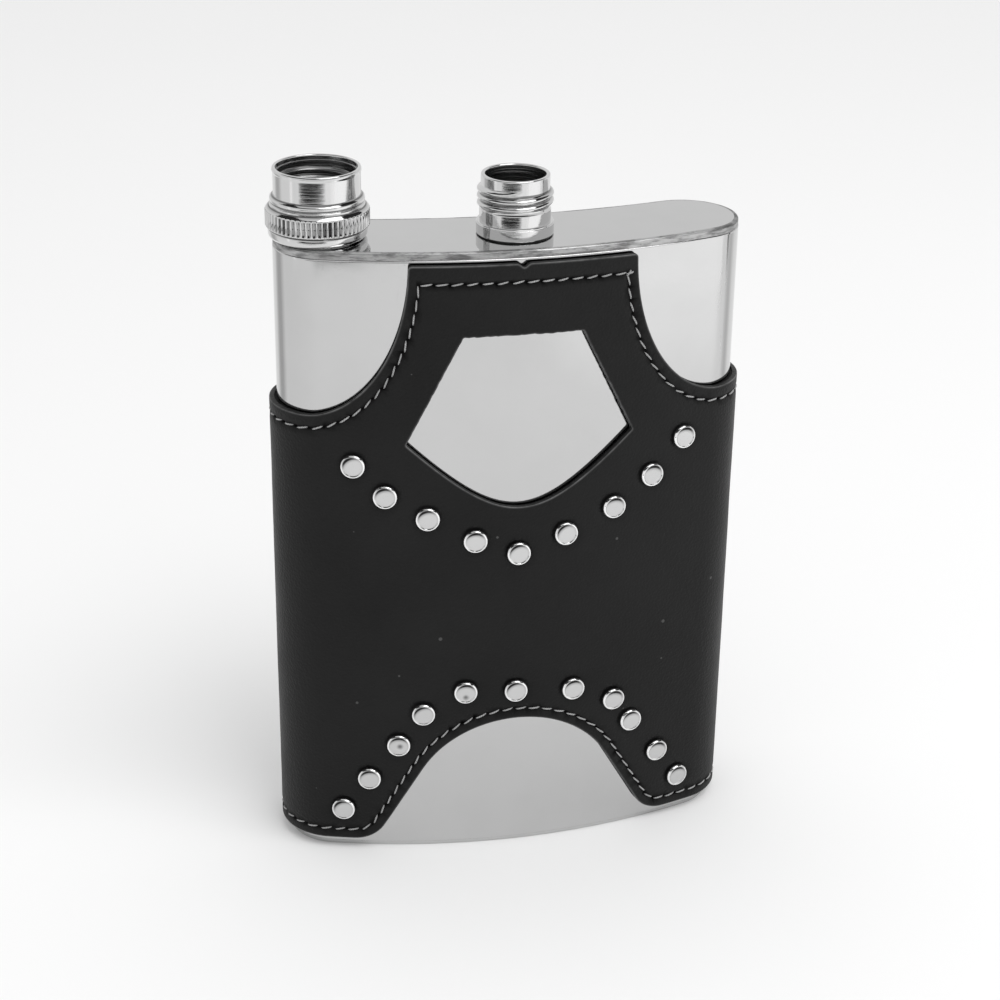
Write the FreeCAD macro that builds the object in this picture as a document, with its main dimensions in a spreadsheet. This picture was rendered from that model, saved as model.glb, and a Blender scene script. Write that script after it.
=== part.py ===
import FreeCAD, Part
import math
import os
import Sketcher
from FreeCAD import Vector

# Hip flask with a leather wrap and a loose screw cap.  Millimetres.
# +Z up, +X to the right, -Y is the convex front.  The origin is the centre of the underside,
# on the axis of the neck.

doc = FreeCAD.newDocument("hip_flask")
sheet = doc.addObject("Spreadsheet::Sheet", "Dims")

DIMS = (
    ("front_rad", 126.2, "radius of the convex front wall"),
    ("back_rad", 153.3, "radius of the concave back wall"),
    ("end_rad", 10.34, "radius of the rounded ends"),
    ("depth_mid", 22.37, "depth of the body at its middle"),
    ("wall_thick", 0.6, "thickness of the wall sheet"),
    ("wall_low", 0.9, "height of the wall's lower edge"),
    ("wall_high", 128.9, "height of the wall's upper edge"),
    ("foot_inset", 0.3, "how far the bottom plate is set in"),
    ("plate_high", 130.35, "height of the top plate's face"),
    ("plate_thick", 0.7, "thickness of the top plate inside its rim"),
    ("plate_rim", 1.0, "width of the top plate's rim"),
    ("plate_inset", 0.1, "how far the top plate is set in"),
    ("neck_bore", 5.8, "inner radius of the neck"),
    ("neck_root", 6.6, "outer radius of the neck at the rim and under the thread"),
    ("neck_crest", 7.35, "outer radius of the neck's thread"),
    ("neck_land", 6.85, "outer radius of the smooth land under the thread"),
    ("neck_flange", 8.3, "radius of the flange under the top plate"),
    ("flange_thick", 0.8, "thickness of that flange"),
    ("neck_rise", 11.8, "height of the neck's rim over the plate"),
    ("land_rise", 5.2, "height of the land's end over the plate"),
    ("thread_rise", 9.85, "height of the thread's upper end over the plate"),
    ("thread_pitch", 1.4, "pitch of the thread"),
    ("thread_turns", 2.75, "turns of the neck's thread"),
    ("thread_foot", 0.62, "half width of a thread ridge at its foot"),
    ("thread_tip", 0.24, "half width of a thread ridge at its crest"),
    ("collar_rad", 7.49, "outer radius of the collar"),
    ("collar_rise", 2.66, "height of the collar's top over the plate"),
    ("washer_rad", 7.2, "outer radius of the washer"),
    ("washer_thick", 0.25, "thickness of the washer"),
    ("cap_x", -37.3, "where the cap stands, left of the neck"),
    ("cap_y", 4.6, "where the cap stands, behind the neck's axis"),
    ("cap_gap", 0.03, "air under the standing cap"),
    ("cap_high", 13.65, "height of the cap"),
    ("skirt_rad", 8.3, "outer radius of the cap's skirt"),
    ("skirt_inner", 7.68, "inner radius of the cap's skirt"),
    ("end_disc_rad", 8.28, "radius of the cap's end disc"),
    ("end_disc_thick", 1.8, "thickness of the cap's end disc"),
    ("liner_high", 3.6, "height of the liner's face inside the cap"),
    ("liner_rad", 7.6, "radius of the liner"),
    ("sleeve_root", 7.5, "root radius of the cap's inside thread"),
    ("sleeve_crest", 6.95, "crest radius of the cap's inside thread"),
    ("sleeve_high", 12.6, "upper end of the threaded sleeve"),
    ("sleeve_turns", 5.0, "turns of the cap's inside thread"),
    ("grip_rad", 9.95, "outer radius of the fluted band"),
    ("grip_low", 2.45, "lower end of the fluted band"),
    ("grip_high", 5.65, "upper end of the fluted band"),
    ("bead_rad", 9.45, "radius of the cap's lower bead"),
    ("bead_low", 0.12, "underside of the cap's lower bead"),
    ("step_rad", 9.0, "radius of the cap's upper bead"),
    ("flute_count", 60, "flutes round the grip band"),
    ("flute_rad", 0.4, "radius of a flute"),
    ("flute_depth", 0.3, "depth of a flute"),
    ("lining_thick", 0.5, "thickness of the wrap's lining"),
    ("leather_thick", 1.0, "thickness of the outer leather"),
    ("wrap_low", 2.5, "height of the wrap's lower edge"),
    ("wrap_high", 128.25, "height of the wrap's top edge"),
    ("wrap_shift", -0.5, "sideways offset of the whole pattern"),
    ("seam_gap", 0.4, "open seam at the middle of the back"),
    ("scallop_x", 41.6, "distance of a scallop's centre from the pattern's middle"),
    ("scallop_half", 19.6, "half width of a scallop"),
    ("scallop_drop", 30.3, "depth of a scallop"),
    ("scallop_z", 128.1, "height of a scallop's centre"),
    ("window_top", 114.0, "height of the window's top edge"),
    ("window_side", 92.1, "height of the window's side corners"),
    ("window_low", 78.1, "height of the window's lowest point"),
    ("window_half_top", 11.5, "half width of the window's top edge"),
    ("window_half", 22.3, "half width of the window at its side corners"),
    ("window_round", 14.0, "roundness of the window's lower edge"),
    ("arch_rad", 22.0, "radius of the bottom arch"),
    ("arch_z", 8.4, "height of the arch's centre"),
    ("arch_flare", 7.0, "radius where the arch runs out into the lobes"),
    ("notch_half", 0.8, "half width of the nick in the top edge"),
    ("notch_deep", 1.0, "depth of the nick in the top edge"),
    ("notch_over", 0.1, "how far the nick's outline runs past the top edge"),
    ("stitch_pitch", 2.8, "distance from stitch to stitch"),
    ("stitch_long", 1.95, "length of one stitch"),
    ("thread_rad", 0.19, "radius of the thread"),
    ("stitch_in", 2.1, "distance of the stitches from the scallops' edge"),
    ("stitch_low", 4.7, "height of the bottom stitches"),
    ("stitch_top", 124.6, "height of the stitches along the top edge"),
    ("seam_pitch", 4.2, "distance between the stitches of the back seam"),
    ("seam_reach", 1.6, "half width of the back seam's stitches"),
    ("stud_rad", 2.48, "radius of a stud's head"),
    ("stud_high", 0.85, "height of a stud's head"),
    ("stud_edge", 0.4, "rounding of a stud's edge"),
    ("post_rad", 1.0, "radius of a stud's post"),
    ("back_disc", 2.0, "radius of the disc behind the leather"),
    ("back_thick", 0.25, "thickness of that disc"),
    ("skin_gap", 0.05, "air between the wall and the discs"),
    ("post_gap", 0.02, "air round a stud's post"),
    ("disc_gap", 0.05, "air round a stud's disc, and twice that over it"),
    ("stud_gap", 0.01, "air under a stud's head"),
    ("thread_gap", 0.05, "air under a stitch"),
    ("seam_lift", 0.06, "air under a stitch of the back seam"),
    ("lip_round", 0.3, "rounding of the neck's rim"),
    ("land_cone", 0.3, "height of the cone over the neck's land"),
    ("thread_sunk", 0.2, "how deep the neck's thread starts inside its root"),
    ("collar_round", 0.15, "rounding of the collar's edges"),
    ("mouth_round", 0.28, "rounding of the cap's mouth"),
    ("sleeve_start", 0.6, "height of the inside thread's start over the liner"),
    ("sleeve_sunk", 0.09, "how deep the inside thread starts inside its root"),
    ("bead_cone", 0.5, "width of the cone under the lower bead"),
    ("bead_rise", 0.55, "height of that cone"),
    ("bead_drop", 0.5, "distance of the lower bead's top from the fluted band"),
    ("waist_in", 0.1, "how far the waist over the lower bead is set in"),
    ("waist_drop", 0.35, "distance of the waist from the fluted band"),
    ("grip_bevel", 0.2, "bevel at both ends of the fluted band"),
    ("shoulder_out", 0.3, "overhang of the shoulder past the upper bead"),
    ("shoulder_rise", 0.7, "height of the shoulder over the fluted band"),
    ("ledge_out", 0.1, "overhang of the ledge past the upper bead"),
    ("ledge_rise", 0.75, "height of the ledge's foot over the fluted band"),
    ("ledge_top", 1.2, "height of the ledge's top over the fluted band"),
    ("groove_in", 0.15, "how far the shoulder's groove is set in"),
    ("groove_rise", 1.35, "height of the groove's foot over the fluted band"),
    ("groove_top", 1.6, "height of the groove's top over the fluted band"),
    ("step_rise", 1.7, "height of the upper bead's foot over the fluted band"),
    ("step_top", 2.3, "height of the upper bead's top over the fluted band"),
    ("cone_out", 0.25, "width of the cone that ends the grip ring"),
    ("cone_rise", 2.75, "height of that cone's foot over the fluted band"),
    ("grip_top", 2.85, "height of the grip ring's end over the fluted band"),
    ("arch_drift", -0.4, "sideways offset of the arch and the nick in the pattern"),
    ("window_drift", -0.2, "sideways offset of the window in the pattern"),
    ("arch_slope", 60.0, "slope of the arch's straight flares, in degrees"),
    ("follow", 1.3, "how much deeper than wide the scallop stitches are set in"),
    ("row_end", 2.5, "distance of the back rows' ends from the seam"),
    ("seam_clear", 5.0, "distance of the back seam's lowest stitch from the arch"),
)

OVER = 5.0  # how far a cut's outline runs past an edge
PAST = 10.0  # how far a cut reaches past the body
SPAN = 80.0  # a cut that goes through the whole body
TINY = 1e-6  # smallest change of volume that counts
SCALLOP_STEPS, CROWN_STEPS, FLARE_STEPS, WINDOW_STEPS = 40, 12, 8, 6

ROWS = {}
for row, (name, number, note) in enumerate(DIMS, 1):
    sheet.set("A%d" % row, note)
    sheet.set("B%d" % row, str(number))
    sheet.setAlias("B%d" % row, name)
    ROWS[name] = row
doc.recompute()


def dim(name):
    """One plain number from the sheet."""
    return float(sheet.get(name))


def words(terms):
    """Split 'a + b - c' into signs and words."""
    sign = 1.0
    for word in terms.split():
        if word == "+":
            sign = 1.0
        elif word == "-":
            sign = -1.0
        else:
            yield sign, word


def value(terms):
    """The number that a sum of sheet names stands for."""
    total = 0.0
    for sign, word in words(terms):
        total += sign * (dim(word) if word in ROWS else float(word))
    return total


def bound(terms):
    """The same sum as an expression on the sheet."""
    return " ".join("Dims." + word if word in ROWS else word for word in terms.split())


# ---------------------------------------------------------------- the kidney outline

front_y = dim("front_rad") - dim("depth_mid") / 2
back_y = dim("back_rad") + dim("depth_mid") / 2
to_front = dim("front_rad") - dim("end_rad")
to_back = dim("back_rad") + dim("end_rad")
end_y = (to_front**2 - to_back**2 - front_y**2 + back_y**2) / (2 * (back_y - front_y))
end_x = math.sqrt(to_front**2 - (end_y - front_y) ** 2)
front_turn = math.atan2(end_x, front_y - end_y)
back_turn = math.atan2(end_x, back_y - end_y)
front_run = dim("front_rad") * front_turn
end_run = dim("end_rad") * (math.pi - front_turn + back_turn)
back_run = dim("back_rad") * back_turn
half_run = front_run + end_run + back_run


def skin(along, height, out=0.0):
    """Point and outward normal at an arc length from the middle of the front, round the wall."""
    side = 1.0 if along >= 0 else -1.0
    run = abs(along)
    if run <= front_run:
        turn = run / dim("front_rad")
        normal = Vector(math.sin(turn), -math.cos(turn), 0)
        base = Vector(0, front_y, height) + normal * dim("front_rad")
    elif run <= front_run + end_run:
        turn = front_turn + (run - front_run) / dim("end_rad")
        normal = Vector(math.sin(turn), -math.cos(turn), 0)
        base = Vector(end_x, end_y, height) + normal * dim("end_rad")
    else:
        turn = (half_run - run) / dim("back_rad")
        normal = Vector(-math.sin(turn), math.cos(turn), 0)
        base = Vector(0, back_y, height) - normal * dim("back_rad")
    point = base + normal * out
    return Vector(side * point.x, point.y, point.z), Vector(side * normal.x, normal.y, 0)


def along_front(x):
    """Arc length on the front half for a sideways distance x from the middle."""
    side = 1.0 if x >= 0 else -1.0
    reach = abs(x)
    joint_x = dim("front_rad") * math.sin(front_turn)
    if reach <= joint_x:
        return side * dim("front_rad") * math.asin(reach / dim("front_rad"))
    turn = math.asin(min(1.0, (reach - end_x) / dim("end_rad")))
    return side * (front_run + dim("end_rad") * (turn - front_turn))


def along_back(x):
    """Arc length on the back half for a sideways distance x from the middle."""
    side = 1.0 if x >= 0 else -1.0
    reach = abs(x)
    joint_x = dim("back_rad") * math.sin(back_turn)
    if reach <= joint_x:
        return side * (half_run - dim("back_rad") * math.asin(reach / dim("back_rad")))
    turn = math.pi - math.asin(min(1.0, (reach - end_x) / dim("end_rad")))
    return side * (front_run + dim("end_rad") * (turn - front_turn))


# ---------------------------------------------------------------- helpers for bodies

def new_body(label):
    body = doc.addObject("PartDesign::Body", label)
    body.Label = label
    return body


def plane_of(body, role):
    return [item for item in body.Origin.OriginFeatures if item.Role == role][0]


def new_sketch(body, name, role):
    sketch = body.newObject("Sketcher::SketchObject", name)
    sketch.AttachmentSupport = [(plane_of(body, role), "")]
    sketch.MapMode = "FlatFace"
    return sketch


def arc(x, y, radius, start, stop):
    return Part.ArcOfCircle(Part.Circle(Vector(x, y, 0), Vector(0, 0, 1), radius), start, stop)


def drive(sketch, constraint, name, terms):
    """Add one driving constraint and bind it to the sheet."""
    number = sketch.addConstraint(constraint)
    sketch.renameConstraint(number, name)
    sketch.setExpression("Constraints." + name, bound(terms))


def add_outline(sketch, grow, tag):
    """One closed kidney outline of four tangent arcs, 'grow' outside the wall's face."""
    more = value(grow)
    to_end = math.atan2(end_y - front_y, end_x)
    to_rear = math.atan2(back_y - end_y, -end_x)
    front, right, back, left = sketch.addGeometry([
        arc(0, front_y, dim("front_rad") + more, -math.pi - to_end, to_end),
        arc(end_x, end_y, dim("end_rad") + more, to_end, to_rear),
        arc(0, back_y, dim("back_rad") - more, -to_rear, to_rear - math.pi),
        arc(-end_x, end_y, dim("end_rad") + more, math.pi - to_rear, math.pi - to_end),
    ], False)
    sketch.addConstraint(Sketcher.Constraint("Tangent", front, 2, right, 1))
    sketch.addConstraint(Sketcher.Constraint("Tangent", right, 2, back, 2))
    sketch.addConstraint(Sketcher.Constraint("Tangent", back, 1, left, 1))
    sketch.addConstraint(Sketcher.Constraint("Tangent", left, 2, front, 1))
    sketch.addConstraint(Sketcher.Constraint("Equal", right, left))
    sketch.addConstraint(Sketcher.Constraint("PointOnObject", front, 3, -2))
    sketch.addConstraint(Sketcher.Constraint("PointOnObject", back, 3, -2))
    drive(sketch, Sketcher.Constraint("Radius", front, dim("front_rad") + more), "front" + tag,
          "front_rad + " + grow)
    drive(sketch, Sketcher.Constraint("Radius", back, dim("back_rad") - more), "back" + tag,
          "back_rad - " + grow.replace("-", "#").replace("+", "-").replace("#", "+"))
    drive(sketch, Sketcher.Constraint("Radius", right, dim("end_rad") + more), "end" + tag,
          "end_rad + " + grow)
    number = sketch.addConstraint(Sketcher.Constraint("DistanceY", -1, 1, front, 3, front_y))
    sketch.renameConstraint(number, "front_centre" + tag)
    sketch.setExpression("Constraints.front_centre" + tag, "Dims.front_rad - Dims.depth_mid / 2")
    number = sketch.addConstraint(Sketcher.Constraint("DistanceY", -1, 1, back, 3, back_y))
    sketch.renameConstraint(number, "back_centre" + tag)
    sketch.setExpression("Constraints.back_centre" + tag, "Dims.back_rad + Dims.depth_mid / 2")


def pad(body, sketch, name, length):
    feature = body.newObject("PartDesign::Pad", name)
    feature.Profile = sketch
    feature.Length = value(length)
    feature.setExpression("Length", bound(length))
    doc.recompute()
    return feature


def pocket(body, sketch, name, length, upward):
    """Cut a sketch into the body; the volume has to go down."""
    before = body.Shape.Volume
    feature = body.newObject("PartDesign::Pocket", name)
    feature.Profile = sketch
    feature.Length = value(length)
    feature.setExpression("Length", bound(length))
    feature.Reversed = upward
    doc.recompute()
    if not body.Shape.Volume < before - TINY:
        raise RuntimeError(name + " removed nothing")
    return feature


def cut_both_ways(body, sketch, name):
    """Cut a sketch through the whole body on both sides of its plane."""
    before = body.Shape.Volume
    feature = body.newObject("PartDesign::Pocket", name)
    feature.Profile = sketch
    feature.Type = 0
    feature.Length = SPAN
    feature.Midplane = True
    doc.recompute()
    if not body.Shape.Volume < before - TINY:
        raise RuntimeError(name + " removed nothing")
    return feature


def kidney_body(label, low, high, outer, inner=None):
    """A kidney-shaped slab or tube from one height to another."""
    body = new_body(label)
    body.Placement.Base = Vector(0, 0, value(low))
    body.setExpression("Placement.Base.z", bound(low))
    sketch = new_sketch(body, label + "_outline", "XY_Plane")
    add_outline(sketch, outer, "_a")
    if inner is not None:
        add_outline(sketch, inner, "_b")
    doc.recompute()
    pad(body, sketch, label + "_pad", high + " - " + low)
    return body


def profile(body, name, corners):
    """A closed polygon of (radius, height) sums in the XZ plane, every corner bound to the sheet."""
    sketch = new_sketch(body, name, "XZ_Plane")
    points = [Vector(value(r), value(z), 0) for r, z in corners]
    count = len(points)
    lines = [Part.LineSegment(points[i], points[(i + 1) % count]) for i in range(count)]
    sketch.addGeometry(lines, False)
    for i in range(count):
        sketch.addConstraint(Sketcher.Constraint("Coincident", i, 2, (i + 1) % count, 1))
    for i, (r, z) in enumerate(corners):
        if value(r) == 0:
            sketch.addConstraint(Sketcher.Constraint("PointOnObject", i, 1, -2))
        else:
            drive(sketch, Sketcher.Constraint("DistanceX", -1, 1, i, 1, value(r)), "r%d" % i, r)
        if value(z) == 0:
            sketch.addConstraint(Sketcher.Constraint("PointOnObject", i, 1, -1))
        else:
            drive(sketch, Sketcher.Constraint("DistanceY", -1, 1, i, 1, value(z)), "z%d" % i, z)
    doc.recompute()
    return sketch


def turned(label, corners, x="0", y="0", z="0"):
    """A body of revolution about its own upright axis, standing at x, y, z."""
    body = new_body(label)
    body.Placement.Base = Vector(value(x), value(y), value(z))
    for axis, terms in (("x", x), ("y", y), ("z", z)):
        if terms != "0":
            body.setExpression("Placement.Base." + axis, bound(terms))
    sketch = profile(body, label + "_profile", corners)
    feature = body.newObject("PartDesign::Revolution", label + "_turn")
    feature.Profile = sketch
    feature.ReferenceAxis = (sketch, ["V_Axis"])
    feature.Angle = 360
    doc.recompute()
    return body


def ring_edges(shape, rings):
    """Names of the round edges at the given (radius, height) pairs."""
    found = []
    for number, edge in enumerate(shape.Edges, 1):
        curve = edge.Curve
        if not isinstance(curve, Part.Circle):
            continue
        for radius, height in rings:
            if abs(curve.Radius - radius) < 0.01 and abs(curve.Center.z - height) < 0.01:
                found.append("Edge%d" % number)
                break
    return found


def fillet_rings(body, name, rings, size):
    """Round the circular edges at (radius, height), given in the body's own frame."""
    tip = body.Tip
    edges = ring_edges(tip.Shape, rings)
    if len(edges) != len(rings):
        raise RuntimeError("%s found %d of %d edges" % (name, len(edges), len(rings)))
    feature = body.newObject("PartDesign::Fillet", name)
    feature.Base = (tip, edges)
    feature.Radius = size
    doc.recompute()
    return feature


def helix_on(body, name, corners, pitch, height):
    """A screw ridge swept along the body's upright axis."""
    sketch = profile(body, name + "_section", corners)
    before = body.Shape.Volume
    feature = body.newObject("PartDesign::AdditiveHelix", name)
    feature.Profile = sketch
    feature.ReferenceAxis = (sketch, ["V_Axis"])
    feature.Mode = 0
    feature.Pitch = pitch
    feature.Height = height
    feature.Angle = 0
    doc.recompute()
    if not body.Shape.Volume > before + TINY:
        raise RuntimeError(name + " added nothing")
    return feature


made = []

# ---------------------------------------------------------------- the steel flask

body_wall = kidney_body("body_wall", "wall_low", "wall_high", "0", "0 - wall_thick")
made.append(body_wall)

bottom_plate = kidney_body("bottom_plate", "0", "wall_low", "0 - foot_inset")
made.append(bottom_plate)

top_plate = kidney_body("top_plate", "wall_high", "plate_high", "0 - plate_inset")
under = new_sketch(top_plate, "top_plate_under", "XY_Plane")
add_outline(under, "0 - plate_inset - plate_rim", "_c")
doc.recompute()
pocket(top_plate, under, "top_plate_pan", "plate_high - wall_high - plate_thick", True)
hole = new_sketch(top_plate, "top_plate_hole", "XY_Plane")
hole.addGeometry(Part.Circle(Vector(0, 0, 0), Vector(0, 0, 1), dim("neck_land")), False)
hole.addConstraint(Sketcher.Constraint("Coincident", 0, 3, -1, 1))
drive(hole, Sketcher.Constraint("Radius", 0, dim("neck_land")), "hole", "neck_land")
doc.recompute()
pocket(top_plate, hole, "top_plate_neck_hole", "plate_high - wall_high", True)
made.append(top_plate)

threaded_neck = turned("threaded_neck", (
    ("neck_bore", "0 - plate_thick - flange_thick"),
    ("neck_flange", "0 - plate_thick - flange_thick"),
    ("neck_flange", "0 - plate_thick"),
    ("neck_land", "0 - plate_thick"),
    ("neck_land", "land_rise"),
    ("neck_root", "land_rise + land_cone"),
    ("neck_root", "neck_rise"),
    ("neck_bore", "neck_rise"),
), z="plate_high")
fillet_rings(threaded_neck, "neck_lip", (
    (dim("neck_root"), dim("neck_rise")),
    (dim("neck_bore"), dim("neck_rise")),
), dim("lip_round"))
thread_height = dim("thread_pitch") * dim("thread_turns")
thread_low = dim("thread_rise") - dim("thread_foot") - thread_height
sheet.set("B%d" % (len(DIMS) + 1), str(round(thread_low, 4)))
sheet.setAlias("B%d" % (len(DIMS) + 1), "thread_low")
ROWS["thread_low"] = len(DIMS) + 1
doc.recompute()
helix_on(threaded_neck, "neck_thread", (
    ("neck_root - thread_sunk", "thread_low - thread_foot"),
    ("neck_crest", "thread_low - thread_tip"),
    ("neck_crest", "thread_low + thread_tip"),
    ("neck_root - thread_sunk", "thread_low + thread_foot"),
), dim("thread_pitch"), thread_height)
made.append(threaded_neck)

neck_collar = turned("neck_collar", (
    ("neck_land", "washer_thick"),
    ("collar_rad", "washer_thick"),
    ("collar_rad", "collar_rise"),
    ("neck_land", "collar_rise"),
), z="plate_high")
fillet_rings(neck_collar, "collar_edge", (
    (dim("collar_rad"), dim("collar_rise")),
    (dim("collar_rad"), dim("washer_thick")),
), dim("collar_round"))
made.append(neck_collar)

neck_washer = turned("neck_washer", (
    ("neck_land", "0"),
    ("washer_rad", "0"),
    ("washer_rad", "washer_thick"),
    ("neck_land", "washer_thick"),
), z="plate_high")
made.append(neck_washer)

# ---------------------------------------------------------------- the cap, upside down on the plate

CAP = {"x": "cap_x", "y": "cap_y", "z": "plate_high + cap_gap"}

cap_end_disc = turned("cap_end_disc", (
    ("0", "0"),
    ("end_disc_rad", "0"),
    ("end_disc_rad", "end_disc_thick"),
    ("0", "end_disc_thick"),
), **CAP)
made.append(cap_end_disc)

cap_shell = turned("cap_shell", (
    ("skirt_inner", "end_disc_thick"),
    ("skirt_rad", "end_disc_thick"),
    ("skirt_rad", "cap_high"),
    ("skirt_inner", "cap_high"),
), **CAP)
fillet_rings(cap_shell, "mouth_edge", (
    (dim("skirt_rad"), dim("cap_high")),
    (dim("skirt_inner"), dim("cap_high")),
), dim("mouth_round"))
made.append(cap_shell)

cap_liner = turned("cap_liner", (
    ("0", "end_disc_thick"),
    ("liner_rad", "end_disc_thick"),
    ("liner_rad", "liner_high"),
    ("0", "liner_high"),
), **CAP)
made.append(cap_liner)

cap_thread_sleeve = turned("cap_thread_sleeve", (
    ("sleeve_root", "liner_high"),
    ("skirt_inner", "liner_high"),
    ("skirt_inner", "sleeve_high"),
    ("sleeve_root", "sleeve_high"),
), **CAP)
helix_on(cap_thread_sleeve, "sleeve_thread", (
    ("sleeve_crest", "liner_high + sleeve_start + thread_foot - thread_tip"),
    ("sleeve_root + sleeve_sunk", "liner_high + sleeve_start"),
    ("sleeve_root + sleeve_sunk", "liner_high + sleeve_start + thread_foot + thread_foot"),
    ("sleeve_crest", "liner_high + sleeve_start + thread_foot + thread_tip"),
), dim("thread_pitch"), dim("thread_pitch") * dim("sleeve_turns"))
made.append(cap_thread_sleeve)

cap_grip_ring = turned("cap_grip_ring", (
    ("skirt_rad", "bead_low"),
    ("bead_rad - bead_cone", "bead_low"),
    ("bead_rad", "bead_low + bead_rise"),
    ("bead_rad", "grip_low - bead_drop"),
    ("bead_rad - waist_in", "grip_low - waist_drop"),
    ("grip_rad - grip_bevel", "grip_low - grip_bevel"),
    ("grip_rad", "grip_low"),
    ("grip_rad", "grip_high"),
    ("grip_rad - grip_bevel", "grip_high + grip_bevel"),
    ("step_rad + shoulder_out", "grip_high + shoulder_rise"),
    ("step_rad + ledge_out", "grip_high + ledge_rise"),
    ("step_rad + ledge_out", "grip_high + ledge_top"),
    ("step_rad - groove_in", "grip_high + groove_rise"),
    ("step_rad - groove_in", "grip_high + groove_top"),
    ("step_rad", "grip_high + step_rise"),
    ("step_rad", "grip_high + step_top"),
    ("skirt_rad + cone_out", "grip_high + cone_rise"),
    ("skirt_rad", "grip_high + grip_top"),
), **CAP)
flute = new_sketch(cap_grip_ring, "flute_outline", "XY_Plane")
flute.AttachmentOffset = FreeCAD.Placement(Vector(0, 0, dim("grip_low")), FreeCAD.Rotation())
flute_at = "grip_rad + flute_rad - flute_depth"
flute.addGeometry(Part.Circle(Vector(value(flute_at), 0, 0), Vector(0, 0, 1), dim("flute_rad")), False)
flute.addConstraint(Sketcher.Constraint("PointOnObject", 0, 3, -1))
drive(flute, Sketcher.Constraint("DistanceX", -1, 1, 0, 3, value(flute_at)), "reach", flute_at)
drive(flute, Sketcher.Constraint("Radius", 0, dim("flute_rad")), "flute", "flute_rad")
doc.recompute()
one_flute = pocket(cap_grip_ring, flute, "one_flute", "grip_high - grip_low", True)
before_flutes = cap_grip_ring.Shape.Volume
flutes = cap_grip_ring.newObject("PartDesign::PolarPattern", "flutes")
flutes.Originals = [one_flute]
flutes.Axis = (plane_of(cap_grip_ring, "Z_Axis"), [""])
flutes.Angle = 360
flutes.Occurrences = int(dim("flute_count"))
cap_grip_ring.Tip = flutes
doc.recompute()
if not cap_grip_ring.Shape.Volume < before_flutes - TINY:
    raise RuntimeError("the flutes removed nothing")
made.append(cap_grip_ring)

# ---------------------------------------------------------------- the leather wrap

def polygon(points):
    return [Part.LineSegment(points[i], points[(i + 1) % len(points)]) for i in range(len(points))]


def join_ends(sketch, count):
    """Make each edge end where the next one starts."""
    for i in range(count):
        sketch.addConstraint(Sketcher.Constraint("Coincident", i, 2, (i + 1) % count, 1))


def scallop_sketch(body, name, side):
    """Quarter ellipse from the top edge down to a level edge that runs out past the side."""
    sketch = new_sketch(body, name, "XZ_Plane")
    middle = side * dim("scallop_x") + dim("wrap_shift")
    half, drop, level = dim("scallop_half"), dim("scallop_drop"), dim("scallop_z")
    low = Vector(middle, level - drop, 0)
    ellipse = Part.Ellipse(low, Vector(middle - half, level, 0), Vector(middle, level, 0))
    inner = Vector(middle - side * half, level, 0)
    over = dim("wrap_high") + OVER
    far = side * (end_x + dim("end_rad") + PAST)
    start, stop = sorted((ellipse.parameter(low), ellipse.parameter(inner)))
    if stop - start > math.pi:
        start, stop = stop, start + 2 * math.pi
    curve = Part.ArcOfEllipse(ellipse, start, stop)
    first, last = curve.StartPoint, curve.EndPoint
    corners = [Vector(inner.x, over, 0), Vector(far, over, 0), Vector(far, low.y, 0)]
    if first.distanceToPoint(low) < last.distanceToPoint(low):
        chain = [last] + corners + [first]
    else:
        chain = [first] + corners + [last]
    edges = [curve] + [Part.LineSegment(chain[i], chain[i + 1]) for i in range(4)]
    sketch.addGeometry(edges, False)
    doc.recompute()
    return sketch


def arch_edges():
    """The bottom arch: a round top, straight flares and rounded run-outs, closed below the wrap."""
    middle = dim("wrap_shift") + dim("arch_drift")
    radius, centre, flare, low = dim("arch_rad"), dim("arch_z"), dim("arch_flare"), dim("wrap_low")
    slope = math.radians(dim("arch_slope"))
    lean = math.pi / 2 - slope
    touch = Vector(radius * math.cos(lean), centre + radius * math.sin(lean), 0)
    meet = touch.x + (touch.y - low) / math.tan(slope)
    foot = Vector(meet + flare * math.tan(slope / 2), low, 0)
    flare_centre = Vector(foot.x, low + flare, 0)
    leave = flare_centre + Vector(-flare * math.sin(slope), -flare * math.cos(slope), 0)
    below = low - OVER
    move = Vector(middle, 0, 0)

    def mirror(point):
        return Vector(-point.x, point.y, 0)

    top = arc(middle, centre, radius, lean, math.pi - lean)
    turn = math.pi / 2 - slope
    right = arc(flare_centre.x + middle, flare_centre.y, flare, math.pi + turn, 3 * math.pi / 2)
    left = arc(middle - flare_centre.x, flare_centre.y, flare, 3 * math.pi / 2, 2 * math.pi - turn)
    return [
        top,
        Part.LineSegment(mirror(touch) + move, mirror(leave) + move),
        left,
        Part.LineSegment(mirror(foot) + move, Vector(-foot.x, below, 0) + move),
        Part.LineSegment(Vector(-foot.x, below, 0) + move, Vector(foot.x, below, 0) + move),
        Part.LineSegment(Vector(foot.x, below, 0) + move, foot + move),
        right,
        Part.LineSegment(leave + move, touch + move),
    ]


def window_edges():
    """Straight top and sides; the lower edge is a rounded V (a hyperbola through the side corners)."""
    middle = dim("wrap_shift") + dim("window_drift")
    half, low, side, soft = dim("window_half"), dim("window_low"), dim("window_side"), dim("window_round")
    span = math.hypot(half, soft) - soft
    points = []
    for step in range(-WINDOW_STEPS, WINDOW_STEPS + 1):
        x = half * step / WINDOW_STEPS
        z = low + (side - low) * (math.hypot(x, soft) - soft) / span
        points.append(Vector(middle + x, z, 0))
    lower = Part.BSplineCurve()
    lower.interpolate(points)
    top_left = Vector(middle - dim("window_half_top"), dim("window_top"), 0)
    top_right = Vector(middle + dim("window_half_top"), dim("window_top"), 0)
    return [
        lower,
        Part.LineSegment(points[-1], top_right),
        Part.LineSegment(top_right, top_left),
        Part.LineSegment(top_left, points[0]),
    ]


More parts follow.
